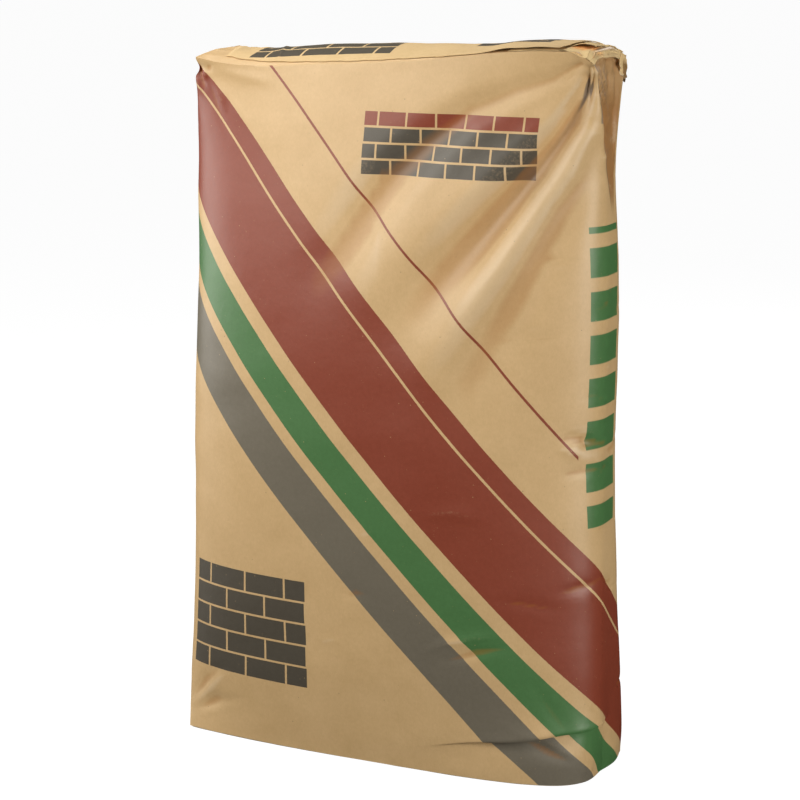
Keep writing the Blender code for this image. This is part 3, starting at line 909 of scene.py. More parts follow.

# Wear of the print, and painted shade: noises as before, and slopes as level, steepness and most
PINHOLE_SCALE = 95.0
PINHOLES = (0.045, 50.0, 0.70)
INK_FILM = (420.0, 3.0, 0.70)
THIN_INK = (0.66, 6.0, 0.35)
RUBBED_CRESTS = (0.55, 1.6)
RUBBED_FILM = (0.46, 4.0, 0.25)
INK_COVER = 0.96
INK_VARIES = 0.12
WORN_CRESTS = (0.40, 0.45)
# Painted shade in the valleys of the folds, as level and steepness
PAINTED_VALLEY_SHADE = (-0.30, 0.50)
SEAM_HALF_LINE = 0.0006
SEAM_SOFT = 0.0010
SEAM_STRENGTH = 0.45
PRINT_ROUGHNESS = 0.46
INK_GLOSS = 0.02
PRINT_BUMP = 0.55

# The side below the valve, with painted shade that lightens towards its top: the cut edge of the front ply
# as its y at a height and its slant, above and below where the ply ends, the light rim of the ply, and the
# small creases near the top, with painted shade along their lines
FACET_SHADE_HIGH = (0.76, 0.68, 0.62)
FACET_SHADE_LOW = (0.62, 0.46, 0.33)
FACET_SHADE_LIFTS = (0.632, 40.0)
PLY_END = 0.6225
PLY_END_STEP = 0.0008
PLY_EDGE_HIGH = (-0.0245, -0.13)
PLY_EDGE_LOW = (-0.0180, -0.23)
PLY_SOFT = 0.0012
PLY_CUT = 0.0010
PLY_CUT_STRENGTH = 0.45
PLY_CUT_SHADOW = (0.100, 0.065, 0.040)
PLY_RIM = 0.0050
PLY_RIM_STRENGTH = 0.75
PLY_RIM_COLOUR = (0.400, 0.300, 0.205)
CREASED_SPOT = ((-0.030, 0.000), (0.640, 0.667))
CREASED_SPOT_SOFT = (0.014, 0.016)
CREASED_SPOT_NOISE = (110.0, 1.0)
CREASED_SPOT_SHOWS = (0.8, 0.1)
CREASE_SLANTS = (38, -42)
CREASE_WAVES = {"Scale": 62.0, "Distortion": 2.2}
CREASE_RAGS = {"Detail": 2.0, "Detail Scale": 1.5, "Detail Roughness": 0.6}
CREASE_LINES = (0.90, 1.4, 0.75)
CREASE_PAINTED_SHADE = (0.090, 0.060, 0.035)
CREASE_DEPTHS = (0.0008, 0.00008)
TORN_FIBRES = (75.0, 4.0, 0.60)
TORN_LIGHT = (0.60, 7.0, 0.30)
TORN_DARK = (0.42, 6.0, 0.35)
TORN_SHADOW = (0.090, 0.055, 0.030)


def brick_wall(wire, s, v, size):
    """1 on the bricks of a half-bond pattern, 0 in the mortar."""
    print_map = wire.node("CombineXYZ", {}, {"X": s, "Y": v})
    settings = {"offset": 0.5, "squash": 1.0}
    sizes = {"Scale": 1.0, "Mortar Size": MORTAR / 2, "Mortar Smooth": 0.1, "Brick Width": size[0]}
    tints = {"Color1": (1, 1, 1, 1), "Color2": (1, 1, 1, 1), "Mortar": (0, 0, 0, 1), "Row Height": size[1]}
    return wire.node("TexBrick", settings, {"Vector": print_map} | sizes | tints)


def print_masks(wire, place, tube, v):
    """Where each ink lies on the tube: stripes across the faces, brick panels, and dashes up one side."""
    # The front's stripes run on round the narrow sides, and the back has the same print, half a turn on
    tube = tube.maths("WRAP", tube, FRONT_PRINT[0] + GIRTH, FRONT_PRINT[0])
    behind = tube.maths("GREATER_THAN", tube, FRONT_PRINT[1])
    s = tube - behind * (GIRTH / 2)
    on_front = tube.between(FRONT_PRINT[0], FRONT_PRINT[1] - BACK_PRINT_MARGIN)
    on_back = tube.between(FRONT_PRINT[1], FRONT_PRINT[0] + GIRTH - BACK_PRINT_MARGIN)
    dash_field = tube.between(*DASH_CLEARANCE) * v.between(DASHES[0] - DASH_GAP, DASHES[1] + DASH_GAP)
    stripes = (on_front + on_back) * (1.0 - dash_field)
    slant = s * float(np.sin(STRIPE_ANGLE)) + v * float(np.cos(STRIPE_ANGLE))
    wander = (noise(wire, place, *EDGE_NOISE) - 0.5) * EDGE_WANDER
    n = slant - STRIPE_MIDDLE * float(np.cos(STRIPE_ANGLE)) + wander
    band = n.between(*RED_BAND) * (1.0 - n.between(*CREAM_LINE))

    large = brick_wall(wire, s, v, BRICK_SIZE)
    large = large * s.between(*BRICK_PANEL[0]) * v.between(*BRICK_PANEL[1])
    large = large * n.between(-FAR, GREY_BAND[0] - STRIPE_CLEARANCE)
    small = brick_wall(wire, s, v, SMALL_BRICK_SIZE)
    small = small * s.between(*SMALL_PANEL[0]) * v.between(*SMALL_PANEL[1])
    small = small * n.between(PINSTRIPE[1] + STRIPE_CLEARANCE, FAR)
    red_course = v.between(RED_COURSE, ON_TUBE[1])
    turn = v.maths("FRACT", v / DASH_PITCH)
    dash = turn.between(*DASH_SHARE, soft=DASH_SOFT) * tube.between(*DASH_PLACE) * v.between(*DASHES)

    red = (band + n.between(*PINSTRIPE)) * stripes + small * red_course
    green = n.between(*GREEN_BAND) * stripes + dash
    grey = n.between(*GREY_BAND) * stripes
    soot = large + small * (1.0 - red_course)
    return ((red, BRICK_RED), (green, LEAF_GREEN), (grey, SLATE_GREY), (soot, SOOT))


def inked(wire, place, colour, pulp, masks, crest):
    """Lays the inks on the paper, thin in places, with pinholes, and rubbed where a crease stands out."""
    pinhole = wire.node("TexVoronoi", {"feature": "F1"}, {"Vector": place, "Scale": PINHOLE_SCALE})
    film = noise(wire, place, *INK_FILM)
    bare = pinhole.below(*PINHOLES) + film.above(*THIN_INK)
    rubbed = crest.above(*RUBBED_CRESTS) * film.above(*RUBBED_FILM)
    cover = (1.0 - (bare + rubbed).clipped()) * INK_COVER
    for amount, ink in masks:
        darker = tuple((1 - INK_VARIES) * c for c in ink)
        lighter = tuple((1 + INK_VARIES) * c for c in ink)
        colour = mixed(wire, amount * cover, colour, mixed(wire, pulp, darker, lighter))
    return colour


def crushed_paper(wire, place, colour, crushed):
    """The side below the valve: bare inner paper behind the cut edge of the front ply, darkened brown with
    painted shade that lightens towards its top. It has a mesh of small creases near its top, with painted
    shade along their lines, and a few torn fibres."""
    split = wire.node("SeparateXYZ", {}, {"Vector": place})
    y, z = split.also("Y"), split.also("Z")
    high = z.past(PLY_END, PLY_END_STEP)
    behind_high = y - (z - PLY_END) * PLY_EDGE_HIGH[1] - PLY_EDGE_HIGH[0]
    behind_low = y - (z - PLY_END) * PLY_EDGE_LOW[1] - PLY_EDGE_LOW[0]
    behind = behind_high * high + behind_low * (1.0 - high)
    inner = behind.past(0.0, PLY_SOFT) * crushed
    rim = behind_high.between(-PLY_SOFT / 2, PLY_RIM, soft=PLY_SOFT) * high * crushed
    cut = behind.between(-PLY_CUT, PLY_CUT, soft=PLY_SOFT)
    cut = (cut + behind_high.between(PLY_RIM - PLY_CUT, PLY_RIM) * high) * crushed

    patchy = noise(wire, place, *CREASED_SPOT_NOISE) * CREASED_SPOT_SHOWS[0] + CREASED_SPOT_SHOWS[1]
    spot = y.between(*CREASED_SPOT[0], soft=CREASED_SPOT_SOFT[0]) * patchy
    spot = spot * z.between(*CREASED_SPOT[1], soft=CREASED_SPOT_SOFT[1])
    creases = 0.0
    for slant in CREASE_SLANTS:
        turned = wire.node("Mapping", {}, {"Vector": place, "Rotation": (np.radians(slant), 0.0, 0.0)})
        sockets = {"Vector": turned} | CREASE_WAVES | CREASE_RAGS
        creases = creases + wire.node("TexWave", {"bands_direction": "Y"}, sockets)
    fibres = noise(wire, place, *TORN_FIBRES)
    # Painted shade on the bare inner paper: darker below, lighter towards its top
    painted_facet_shade = mixed(wire, z.above(*FACET_SHADE_LIFTS), FACET_SHADE_LOW, FACET_SHADE_HIGH)
    colour = mixed(wire, inner, colour, mixed(wire, 1.0, colour, painted_facet_shade, blend="MULTIPLY"))
    colour = mixed(wire, fibres.above(*TORN_LIGHT) * inner, colour, KRAFT_WORN)
    colour = mixed(wire, fibres.below(*TORN_DARK) * inner, colour, TORN_SHADOW)
    # Painted shade along the lines of the small creases
    colour = mixed(wire, creases.below(*CREASE_LINES) * spot * inner, colour, CREASE_PAINTED_SHADE)
    colour = mixed(wire, rim * PLY_RIM_STRENGTH, colour, PLY_RIM_COLOUR)
    colour = mixed(wire, cut.clipped() * PLY_CUT_STRENGTH, colour, PLY_CUT_SHADOW)
    return colour, creases * inner * (spot * CREASE_DEPTHS[0] + CREASE_DEPTHS[1])


def printed_kraft():
    paper, wire = new_material("printed_kraft_paper")
    place = wire.node("TexCoord", out=3)
    tube, v = print_place(wire)
    colour, pulp, fibre = kraft_colour(wire, place, KRAFT_LIGHT, KRAFT_DARK)
    crest = mark_of(wire, "crest")
    masks = print_masks(wire, place, tube, v)
    colour = mixed(wire, crest.above(*WORN_CRESTS), colour, KRAFT_WORN)
    colour = inked(wire, place, colour, pulp, masks, crest)
    # Painted shade: the valleys of the folds are darkened to brown where the crest mark is below zero
    colour = mixed(wire, crest.below(*PAINTED_VALLEY_SHADE), colour, PAINTED_FOLD_SHADE)
    seam_edge = tube.between(SEAM_PLACE - SEAM_HALF_LINE, SEAM_PLACE + SEAM_HALF_LINE, soft=SEAM_SOFT)
    colour = mixed(wire, seam_edge * v.between(*ON_TUBE) * SEAM_STRENGTH, colour, SEAM_SHADOW)
    all_ink = masks[0][0] + masks[1][0] + masks[2][0] + masks[3][0]
    roughness = PRINT_ROUGHNESS - all_ink * INK_GLOSS + (pulp - 0.5) * ROUGHNESS_VARIES
    colour, creases = crushed_paper(wire, place, colour, mark_of(wire, "crushed"))
    bump = paper_bump(wire, place, pulp, fibre, PRINT_BUMP, creases)
    finish_paper(wire, colour, roughness, bump)
    return paper


sack, top_end, bottom_outline = build_sack()
shade_smooth(sack, degrees=62)
sack.data.materials.clear()
sack.data.materials.append(printed_kraft())
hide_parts("sack_body")
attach(sack, "root")

# The bottom patch
# A sheet of kraft glued under the square-folded bottom end. The bag stands on it, so it is scuffed and
# grey with floor dust, and from the front only its edge shows.
BOTTOM_PATCH_INSET = 0.0025
BOTTOM_PATCH_THICKNESS = 0.0009
BOTTOM_PATCH_LIFT = 0.0001
BOTTOM_PATCH_CRUMPLE = 0.0001
BOTTOM_PATCH_CRUMPLE_SIZE = 0.060
BOTTOM_PATCH_CLEARANCE = 0.00004
BOTTOM_KRAFT = ((0.560, 0.400, 0.225), (0.430, 0.290, 0.150))
BOTTOM_ROUGHNESS = 0.72
BOTTOM_BUMP = 0.6
FLOOR_DUST = (0.420, 0.385, 0.330)
DUST_CLOUDS = (14.0, 4.0, 0.60)
DUSTY = (0.46, 3.0, 0.50)
SCRAPES = (120.0, 4.0, 0.60)
SCRAPE_STRETCH = 0.12
SCRAPED = (0.60, 6.0, 0.40)


def give_thickness(sheet, thickness):
    """Makes a sheet a closed ply, which grows along the normals of the sheet's faces."""
    ply = sheet.modifiers.new("ply", "SOLIDIFY")
    ply.thickness = thickness
    ply.offset = 1
    pick(sheet)
    bpy.ops.object.modifier_apply(modifier=ply.name)


def build_bottom_patch():
    inwards = bottom_outline[:, :2] - [CENTRING_SHIFT, 0]
    length = np.linalg.norm(inwards, axis=1, keepdims=True)
    outline = bottom_outline.copy()
    outline[:, :2] -= inwards / length * BOTTOM_PATCH_INSET
    grid = across_end(outline, FRONT_COLUMNS, SIDE_COLUMNS)
    crumples = 1 + crumple(grid[..., 0], grid[..., 1], BOTTOM_PATCH_CRUMPLE_SIZE, seed=5)
    grid[..., 2] = BOTTOM_PATCH_LIFT + BOTTOM_PATCH_CRUMPLE * crumples
    patch = paper_sheet("bottom_patch_sheet", grid, grid[..., :2])
    give_thickness(patch, BOTTOM_PATCH_THICKNESS)

    # The ply's corners can turn down, and the floor holds them up
    places = np.zeros(3 * len(patch.data.vertices))
    patch.data.vertices.foreach_get("co", places)
    places[2::3] = np.maximum(places[2::3], BOTTOM_PATCH_CLEARANCE)
    patch.data.vertices.foreach_set("co", places)
    patch.data.update()
    return patch


def scuffed_kraft():
    paper, wire = new_material("bottom_kraft_paper")
    place = wire.node("TexCoord", out=3)
    colour, pulp, fibre = kraft_colour(wire, place, *BOTTOM_KRAFT)
    long_way = wire.node("Mapping", {}, {"Vector": place, "Scale": (SCRAPE_STRETCH, 1.0, 1.0)})
    dust = noise(wire, place, *DUST_CLOUDS).above(*DUSTY) + noise(wire, long_way, *SCRAPES).above(*SCRAPED)
    colour = mixed(wire, dust.clipped(), colour, FLOOR_DUST)
    roughness = BOTTOM_ROUGHNESS - (pulp - 0.5) * ROUGHNESS_VARIES
    finish_paper(wire, colour, roughness, paper_bump(wire, place, pulp, fibre, BOTTOM_BUMP))
    return paper


bottom_patch = build_bottom_patch()
shade_smooth(bottom_patch, degrees=40)
bottom_patch.data.materials.append(scuffed_kraft())
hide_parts("bottom_cover_patch")
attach(bottom_patch, "root")

# The valve sleeve
# A flat tube of thin kraft glued into the top corner, which the bag is filled through. The powder presses
# it shut, and its mouth is left crumpled over the end, with a ragged lip at the front and a torn tongue.
SLEEVE_START = 0.120
SLEEVE_EDGE = 0.1940
SLEEVE_FRONT = -0.0468
SLEEVE_BACK = 0.0475
SLEEVE_PLY = 0.00030
SLEEVE_CREST = [
    (-0.047, 0.6815),
    (-0.041, 0.6865),
    (-0.030, 0.6880),
    (0.000, 0.6885),
    (0.017, 0.6875),
    (0.032, 0.6835),
    (0.042, 0.6795),
    (0.048, 0.6720),
]
SLEEVE_LIP = [
    (-0.0470, 0.6760),
    (-0.042, 0.6788),
    (-0.034, 0.6808),
    (-0.016, 0.6804),
    (0.010, 0.6788),
    (0.017, 0.6770),
    (0.0245, 0.6735),
    (0.0306, 0.6650),
    (0.036, 0.6580),
    (0.041, 0.6560),
    (0.045, 0.6590),
    (0.0475, 0.6655),
]
SLEEVE_ROWS = 130
SLEEVE_FLAT_COLUMNS = 50
SLEEVE_HANGING_COLUMNS = 44

# The part that lies on the sack: how it rises to the crest and wrinkles beside it
SLEEVE_LIFT = 0.0006
SLEEVE_RISE = 0.022
SLEEVE_WRINKLE = 0.0004
SLEEVE_WRINKLE_SIZE = 0.016
SLEEVE_WRINKLES_FROM = (0.150, 0.185)

# The part that hangs over the end: its drop, its section and crumples, and its ragged lip and tongue.
# The groove and the rim are given as height, middle and half width in shares of the drop, and the pleat,
# the rags and the tatters as height and waves in radians a metre
HANGING_POWER = 1.2
SLEEVE_BULGE = 0.0070
SLEEVE_BEND = 0.0026
TONGUE = (0.018, 0.030)
TONGUE_LESS_BULGE = 0.40
GROOVE = (-0.0010, 0.62, 0.16)
GROOVE_ENDS = (0.020, 0.030)
RIM = (0.0006, 0.95, 0.05)
SLEEVE_CRUMPLE = 0.0009
SLEEVE_CRUMPLE_SIZE = 0.022
SLEEVE_CRUMPLE_RUN = ((0.0, 0.2), (0.7, 0.9))
LIP_LESS_CRUMPLE = 0.6
CRUMPLES_RISE = 0.6
PLEAT = (0.0016, 1250, 90)
PLEAT_FROM = (0.024, 0.034)
RAGS = (0.0007, 900, 2100)
FINE_RAGS = 0.6
RAGS_AT_FRONT = 0.3
TATTERS = (0.0012, 1500)
TATTERS_FROM = (0.030, 0.036)
TORN_EDGE = 0.0005
TORN_AT_FRONT = 0.08
# Where shade is painted on the lower tongue: across the sleeve, and in shares of the drop
TONGUE_SHADE_FROM = ((0.032, 0.038), (0.25, 0.55))

# The mouth: where the upper ply starts and arches, and the inner paper that shows in it, which gets painted
# warm bounce light
MOUTH_FRONT = -0.0260
MOUTH_MIDDLE = 0.1880
MOUTH_HALF = 0.0095
MOUTH_OPENS = 0.0036
MOUTH_LEANS = 0.0040
MOUTH_DEEP = 0.0200
MOUTH_INSIDE = (0.1860, -0.0255)
MOUTH_INSIDE_REACH = (0.0085, 0.0170)
UPPER_COLUMNS = 5
UPPER_LIFT = 0.0007
UPPER_OVERHANG = 0.0010
UPPER_OVERHANG_FROM = (0.190, 0.199)
UPPER_WRINKLE_SIZE = 0.012
UPPER_WRINKLES_FROM = (0.155, 0.185)

SLEEVE_KRAFT = ((0.800, 0.585, 0.295), (0.570, 0.395, 0.185))
SLEEVE_ROUGHNESS = 0.80
SLEEVE_BUMP = 0.7
SLEEVE_SHEEN = 0.05
# Painted warm bounce light on the paper inside the mouth
MOUTH_PAINTED_LIGHT = (0.850, 0.400, 0.130)
MOUTH_LIGHT_STRENGTH = 0.85
# Colour of the painted shade on the lower tongue
TONGUE_PAINTED_SHADE = (0.40, 0.33, 0.27)
TORN_KRAFT = (0.740, 0.620, 0.450)
TORN_LEAST = 0.4
TORN_STRENGTH = 0.8


def on_top(x, y):
    """Height of the sack's closed top end at a place on it."""
    middle = top_end[len(top_end) // 2, :, 0] - CENTRING_SHIFT
    column = np.interp(x, middle, np.arange(len(middle)))
    low = np.clip(column.astype(int), 0, len(middle) - 2)
    part = column - low
    front, back = (top_end[edge, low, 1] * (1 - part) + top_end[edge, low + 1, 1] * part for edge in (0, -1))
    row = np.clip((y - front) / (back - front), 0, 1) * (len(top_end) - 1)
    below = np.clip(row.astype(int), 0, len(top_end) - 2)
    rest = row - below
    near = top_end[below, low, 2] * (1 - part) + top_end[below, low + 1, 2] * part
    far = top_end[below + 1, low, 2] * (1 - part) + top_end[below + 1, low + 1, 2] * part
    return near * (1 - rest) + far * rest


def swell(place, height, middle, half):
    """A smooth swelling of this height around the middle."""
    return height * np.exp(-(((place - middle) / half) ** 2))


def lower_ply():
    """Places of the sleeve's lower ply: flat on the sack, over the end, and down to the ragged lip."""
    y = np.linspace(SLEEVE_FRONT, SLEEVE_BACK, SLEEVE_ROWS + 1)[:, None]
    crest = eased(SLEEVE_CREST, y)
    flat_x = np.linspace(SLEEVE_START, SLEEVE_EDGE, SLEEVE_FLAT_COLUMNS + 1)[None, :] + 0 * y
    flat_y = y + 0 * flat_x
    rise = ramp(flat_x, SLEEVE_EDGE - SLEEVE_RISE, SLEEVE_EDGE)
    flat_z = (on_top(flat_x, flat_y) + SLEEVE_LIFT) * (1 - rise) + crest * rise
    wrinkle = 1 + crumple(flat_y, flat_x, SLEEVE_WRINKLE_SIZE, seed=21)
    flat_z += SLEEVE_WRINKLE * wrinkle * ramp(flat_x, *SLEEVE_WRINKLES_FROM)

    tongue = ramp(y, *TONGUE)
    rags = RAGS[0] * (np.sin(y * RAGS[1]) + FINE_RAGS * np.sin(y * RAGS[2] + 1))
    rags = rags * (RAGS_AT_FRONT + (1 - RAGS_AT_FRONT) * tongue)
    tatters = TATTERS[0] * ramp(y, *TATTERS_FROM) * np.sin(y * TATTERS[1])
    lip = eased(SLEEVE_LIP, y) + rags + tatters
    w = np.linspace(0, 1, SLEEVE_HANGING_COLUMNS + 1)[None, 1:]
    z = crest - (crest - lip) * w**HANGING_POWER
    bulge = SLEEVE_BULGE * (1 - np.exp(-(crest - z) / SLEEVE_BEND)) * (1 - TONGUE_LESS_BULGE * tongue)
    groove = swell(w, *GROOVE) * (1 - ramp(y, *GROOVE_ENDS))
    folds = SLEEVE_CRUMPLE * crumple(y + 0 * z, z, SLEEVE_CRUMPLE_SIZE, seed=22)
    folds *= ramp(w, *SLEEVE_CRUMPLE_RUN[0]) * (1 - LIP_LESS_CRUMPLE * ramp(w, *SLEEVE_CRUMPLE_RUN[1]))
    pleat = PLEAT[0] * ramp(y, *PLEAT_FROM) * np.sin(y * PLEAT[1] + z * PLEAT[2])
    x = SLEEVE_EDGE + bulge + groove + swell(w, *RIM) + folds + pleat
    z = z + CRUMPLES_RISE * folds * (1 - w)
    hanging = np.dstack([x, y + 0 * x, z])
    places = np.hstack([np.dstack([flat_x, flat_y, flat_z]), hanging])
    at_lip = np.exp(-(1 - w) * (crest - lip) / TORN_EDGE)
    torn = np.hstack([0 * flat_x, at_lip * (TORN_AT_FRONT + (1 - TORN_AT_FRONT) * tongue)])
    # The lower part of the tongue, marked for painted shade
    tongue_shade = np.hstack([0 * flat_x, ramp(y, *TONGUE_SHADE_FROM[0]) * ramp(w, *TONGUE_SHADE_FROM[1])])
    # Where warm bounce light is painted inside the mouth
    off = np.hypot(places[..., 0] - MOUTH_INSIDE[0], places[..., 1] - MOUTH_INSIDE[1])
    return places, {"torn": torn, "inside": 1 - ramp(off, *MOUTH_INSIDE_REACH), "tongue_shade": tongue_shade}


def upper_ply(lower):
    """Places of the upper ply: on the lower one, and arched at the front, where the mouth stands open."""
    first = np.searchsorted(lower[:, 0, 1], MOUTH_FRONT)
    ply = lower[first:, : SLEEVE_FLAT_COLUMNS + UPPER_COLUMNS].copy()
    x, y = ply[..., 0], ply[..., 1]
    arch = swell(x, 1, MOUTH_MIDDLE, MOUTH_HALF) * swell(y, 1, ply[0, 0, 1], MOUTH_DEEP)
    wrinkle = crumple(x, y, UPPER_WRINKLE_SIZE, seed=23) * ramp(x, *UPPER_WRINKLES_FROM)
    ply[..., 2] += UPPER_LIFT + MOUTH_OPENS * arch + SLEEVE_WRINKLE * wrinkle
    ply[..., 0] += UPPER_OVERHANG * ramp(x, *UPPER_OVERHANG_FROM)
    ply[..., 1] -= MOUTH_LEANS * arch
    return ply, {mark: np.zeros(ply.shape[:2]) for mark in ("torn", "inside", "tongue_shade")}


def build_sleeve():
    lower = lower_ply()
    plies = []
    for name, (places, marks) in (("lower ply", lower), ("upper ply", upper_ply(lower[0]))):
        places[..., 0] += CENTRING_SHIFT
        sheet = paper_sheet(name, places, places[..., :2])
        for mark, values in marks.items():
            add_mark(sheet, mark, values)
        give_thickness(sheet, SLEEVE_PLY)
        plies.append(sheet)
    sleeve = join(plies)
    sleeve.name = "valve_sleeve_sheet"
    sleeve.data.name = "valve_sleeve_sheet"
    return sleeve


def crumpled_kraft():
    paper, wire = new_material("sleeve_kraft_paper")
    place = wire.node("TexCoord", out=3)
    colour, pulp, fibre = kraft_colour(wire, place, *SLEEVE_KRAFT)
    torn, inside, tongue_shade = (mark_of(wire, mark) for mark in ("torn", "inside", "tongue_shade"))
    colour = mixed(wire, (torn * (pulp + TORN_LEAST)).clipped() * TORN_STRENGTH, colour, TORN_KRAFT)
    # Painted warm bounce light on the paper that shows inside the mouth
    colour = mixed(wire, inside * MOUTH_LIGHT_STRENGTH, colour, MOUTH_PAINTED_LIGHT)
    # Painted shade on the lower part of the torn tongue
    colour = mixed(wire, tongue_shade, colour, TONGUE_PAINTED_SHADE, blend="MULTIPLY")
    roughness = SLEEVE_ROUGHNESS - (pulp - 0.5) * ROUGHNESS_VARIES
    bump = paper_bump(wire, place, pulp, fibre, SLEEVE_BUMP)
    finish_paper(wire, colour, roughness, bump, SLEEVE_SHEEN)
    return paper


sleeve = build_sleeve()
shade_smooth(sleeve, degrees=40)
sleeve.data.materials.append(crumpled_kraft())
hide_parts("valve_sleeve")
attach(sleeve, "root")

# The top patch
# A sheet of kraft glued over the square-folded top end, with courses of printed bricks. Its front edge
# runs askew at the left, lies on the crease in the middle, and stands off over the sleeve at the right.
TOP_PATCH_LEFT = -0.173
TOP_PATCH_RIGHT = 0.177
TOP_PATCH_FRONT = [
    (-0.173, -0.0340),
    (-0.130, -0.0410),
    (-0.090, -0.0445),
    (0.050, -0.0455),
    (0.177, -0.0462),
]
TOP_PATCH_BACK = 0.0435
TOP_PATCH_PLY = 0.00035
TOP_PATCH_COLUMNS = 260
TOP_PATCH_ROWS = 64
TOP_PATCH_WAVES = ((0.0003, 210, 0), (0.0002, 530, 1))
TOP_PATCH_CUT = 0.008
TOP_PATCH_CUT_FROM = (0.166, 0.177)
TOP_PATCH_CRUMPLE = 0.0004
TOP_PATCH_CRUMPLE_SIZE = 0.080
TOP_PATCH_TUCKS = [
    ([(-0.1700, -0.044), (-0.1705, -0.025), (-0.1690, 0.000), (-0.1690, 0.030)], 0.0008, 0.0026, 1),
    ([(-0.112, -0.052), (-0.119, -0.024), (-0.128, 0.006), (-0.132, 0.040)], 0.0013, 0.0028, 1),
    ([(-0.155, -0.030), (-0.110, -0.018), (-0.040, -0.024), (0.040, -0.010)], -0.0006, 0.0040, 1),
    ([(0.010, -0.040), (0.060, -0.015), (0.110, 0.020)], 0.0007, 0.0050, 0),
    ([(0.095, -0.048), (0.140, -0.030), (0.180, -0.016)], 0.0008, 0.0040, 1),
    ([(0.120, -0.014), (0.155, 0.010), (0.190, 0.026)], -0.0007, 0.0036, 1),
]

# How high the patch lies: on the sack, at its loose front edge, and over the sleeve. The loose edge is
# given as its height, the height of its waves, and those in radians a metre
TOP_PATCH_LIFT = 0.0007
TOP_PATCH_LEAST_LIFT = -0.0004
LOOSE_EDGE = (0.0008, 0.0004, 180)
LOOSE_EDGE_FROM = (0.085, 0.140)
LOOSE_EDGE_WIDTH = 0.010
OVER_SLEEVE = 0.0018
OVER_SLEEVE_FROM = (SLEEVE_START - 0.030, SLEEVE_START - 0.003)
OVER_WRINKLES = 0.0006
OVER_WRINKLES_FROM = (0.150, 0.172)
PATCH_CREST_LIFT = 0.0002

PATCH_KRAFT = ((0.710, 0.510, 0.265), (0.570, 0.390, 0.185))
PATCH_ROUGHNESS = 0.70
PATCH_BUMP = 0.6
PATCH_SHEEN = 0.12
PATCH_WORN_CRESTS = (0.40, 0.40)
PATCH_BRICK_SIZE = (0.0375, 0.0180)
PATCH_BRICKS = (((-0.1480, -0.0020), (-0.0350, 0.0170)), ((0.0770, 0.1480), (-0.0170, 0.0170)))


def build_top_patch():
    k = np.linspace(0, 1, TOP_PATCH_COLUMNS + 1)[None, :]
    v = np.linspace(0, 1, TOP_PATCH_ROWS + 1)[:, None]
    x = TOP_PATCH_LEFT + (TOP_PATCH_RIGHT - TOP_PATCH_LEFT) * k + 0 * v
    front = eased(TOP_PATCH_FRONT, x)
    for height, wave, start in TOP_PATCH_WAVES:
        front = front + height * np.sin(x * wave + start)
    y = front + (TOP_PATCH_BACK - front) * v
    x = x - TOP_PATCH_CUT * ramp(x, *TOP_PATCH_CUT_FROM) * (1 - v) ** 2
    lift = np.zeros(x.shape)
    for path, depth, half_width, sharp in TOP_PATCH_TUCKS:
        press_short_fold(lift, x, y, path, depth, half_width, sharp)
    lift += TOP_PATCH_CRUMPLE * crumple(x, y, TOP_PATCH_CRUMPLE_SIZE, seed=31) * ramp(v, 0, 0.2)
    loose = ramp(x, *LOOSE_EDGE_FROM) * (LOOSE_EDGE[0] + LOOSE_EDGE[1] * np.sin(x * LOOSE_EDGE[2]))
    loose = loose * np.exp(-(y - front) / LOOSE_EDGE_WIDTH)
    over = OVER_SLEEVE * ramp(x, *OVER_SLEEVE_FROM) + OVER_WRINKLES * ramp(x, *OVER_WRINKLES_FROM)
    z = on_top(x, y) + TOP_PATCH_LIFT + np.maximum(lift, TOP_PATCH_LEAST_LIFT) + loose + over
    patch = paper_sheet("top_patch_sheet", np.dstack([x + CENTRING_SHIFT, y, z]), np.dstack([x, y]))
    bend = lift - smooth_grid(lift, SMOOTHING_PASSES)
    add_mark(patch, "crest", np.clip(bend / PATCH_CREST_LIFT, -1, 1))
    give_thickness(patch, TOP_PATCH_PLY)
    return patch


def patch_kraft():
    paper, wire = new_material("patch_kraft_paper")
    place = wire.node("TexCoord", out=3)
    s, v = print_place(wire)
    colour, pulp, fibre = kraft_colour(wire, place, *PATCH_KRAFT)
    crest = mark_of(wire, "crest")
    colour = mixed(wire, crest.above(*PATCH_WORN_CRESTS), colour, KRAFT_WORN)
    left, right = (s.between(*across) * v.between(*up) for across, up in PATCH_BRICKS)
    bricks = brick_wall(wire, s, v, PATCH_BRICK_SIZE) * (left + right)
    colour = inked(wire, place, colour, pulp, ((bricks, SOOT),), crest)
    roughness = PATCH_ROUGHNESS - (pulp - 0.5) * ROUGHNESS_VARIES
    bump = paper_bump(wire, place, pulp, fibre, PATCH_BUMP)
    finish_paper(wire, colour, roughness, bump, PATCH_SHEEN)
    return paper


top_patch = build_top_patch()
shade_smooth(top_patch, degrees=40)
top_patch.data.materials.append(patch_kraft())
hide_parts("top_cover_patch")
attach(top_patch, "root")

# The studio
# A plain pale floor, which glows so that it stays evenly pale, six soft lamps round the sack, and a camera
# that looks down on it from its front right.
FLOOR_SIZE = 60.0
FLOOR_PAINT = ((0.11, 0.11, 0.11), (0.13, 0.13, 0.13))
FLOOR_GRAIN = (3.0, 2.0)
FLOOR_GLOW = 0.97
FLOOR_ROUGHNESS = 0.8
TARGET = np.array([0.0, 0.0, 0.36])
CAMERA_PLACE = (0.91545, -2.00323, 0.846)
CAMERA_AZIMUTH = 24.6
CAMERA_PITCH = 12.8
CAMERA_LENS = 105.66
CAMERA_SENSOR = 36.0

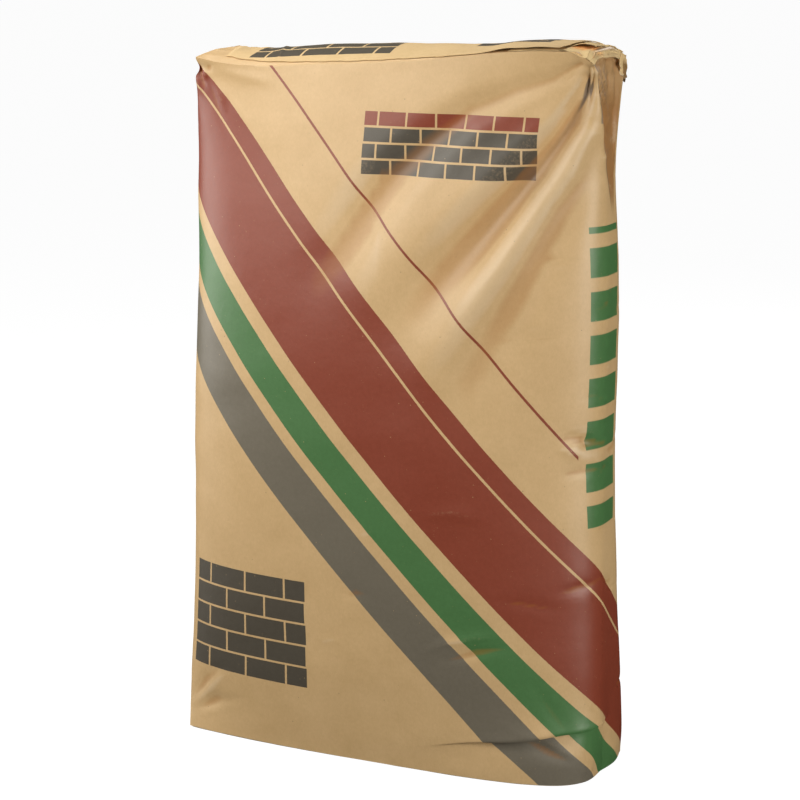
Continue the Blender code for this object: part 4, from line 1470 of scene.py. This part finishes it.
deselect_all()
bpy.ops.mesh.primitive_plane_add(size=FLOOR_SIZE, location=(0, 0, 0))
floor = bpy.context.object
floor.name = "floor"
floor_paint, wire = new_material("pale floor")
grain = noise(wire, wire.node("TexCoord", out=3), *FLOOR_GRAIN)
looks = {"Base Color": mixed(wire, grain, *FLOOR_PAINT), "Roughness": FLOOR_ROUGHNESS}
glow = {"Emission Color": (1, 1, 1, 1), "Emission Strength": FLOOR_GLOW}
wire.node("OutputMaterial", {}, {"Surface": wire.node("BsdfPrincipled", {}, looks | glow)})
floor.data.materials.append(floor_paint)
floor.visible_diffuse = False
floor.visible_glossy = False

world = bpy.data.worlds.new("studio")
world.use_nodes = True
world.node_tree.nodes["Background"].inputs["Color"].default_value = (1, 1, 1, 1)
world.node_tree.nodes["Background"].inputs["Strength"].default_value = 1.0
world.cycles_visibility.diffuse = False
world.cycles_visibility.glossy = False
bpy.context.scene.world = world
bpy.context.scene.view_settings.view_transform = "Standard"


def add_lamp(name, azimuth, elevation, distance, size, watts):
    """A square soft lamp that looks at the middle of the sack. Azimuth 0 is in front of it."""
    turn = np.radians(azimuth)
    tilt = np.radians(elevation)
    way = np.array([np.sin(turn) * np.cos(tilt), -np.cos(turn) * np.cos(tilt), np.sin(tilt)])
    deselect_all()
    bpy.ops.object.light_add(type="AREA", location=TARGET + way * distance)
    lamp = bpy.context.object
    lamp.name = name
    lamp.rotation_euler = (np.radians(90) - tilt, 0, turn)
    lamp.data.shape = "SQUARE"
    lamp.data.size = size
    lamp.data.energy = watts
    lamp.visible_camera = False


add_lamp("top lamp", -95, 75, 1.24, 0.7, 8.6)
add_lamp("key lamp", -35, 28, 1.24, 0.7, 10.4)
add_lamp("side lamp", -78, 6, 2.02, 1.0, 18.5)
add_lamp("fill lamp", 68, 5, 2.22, 1.0, 31.0)
add_lamp("back lamp", 170, 30, 2.23, 1.2, 14.0)
add_lamp("front lamp", 26, 8, 2.22, 1.8, 8.0)

bpy.ops.object.camera_add(location=CAMERA_PLACE)
camera = bpy.context.object
camera.rotation_euler = (np.radians(90 - CAMERA_PITCH), 0, np.radians(CAMERA_AZIMUTH))
camera.data.lens = CAMERA_LENS
camera.data.sensor_width = CAMERA_SENSOR
bpy.context.scene.camera = camera
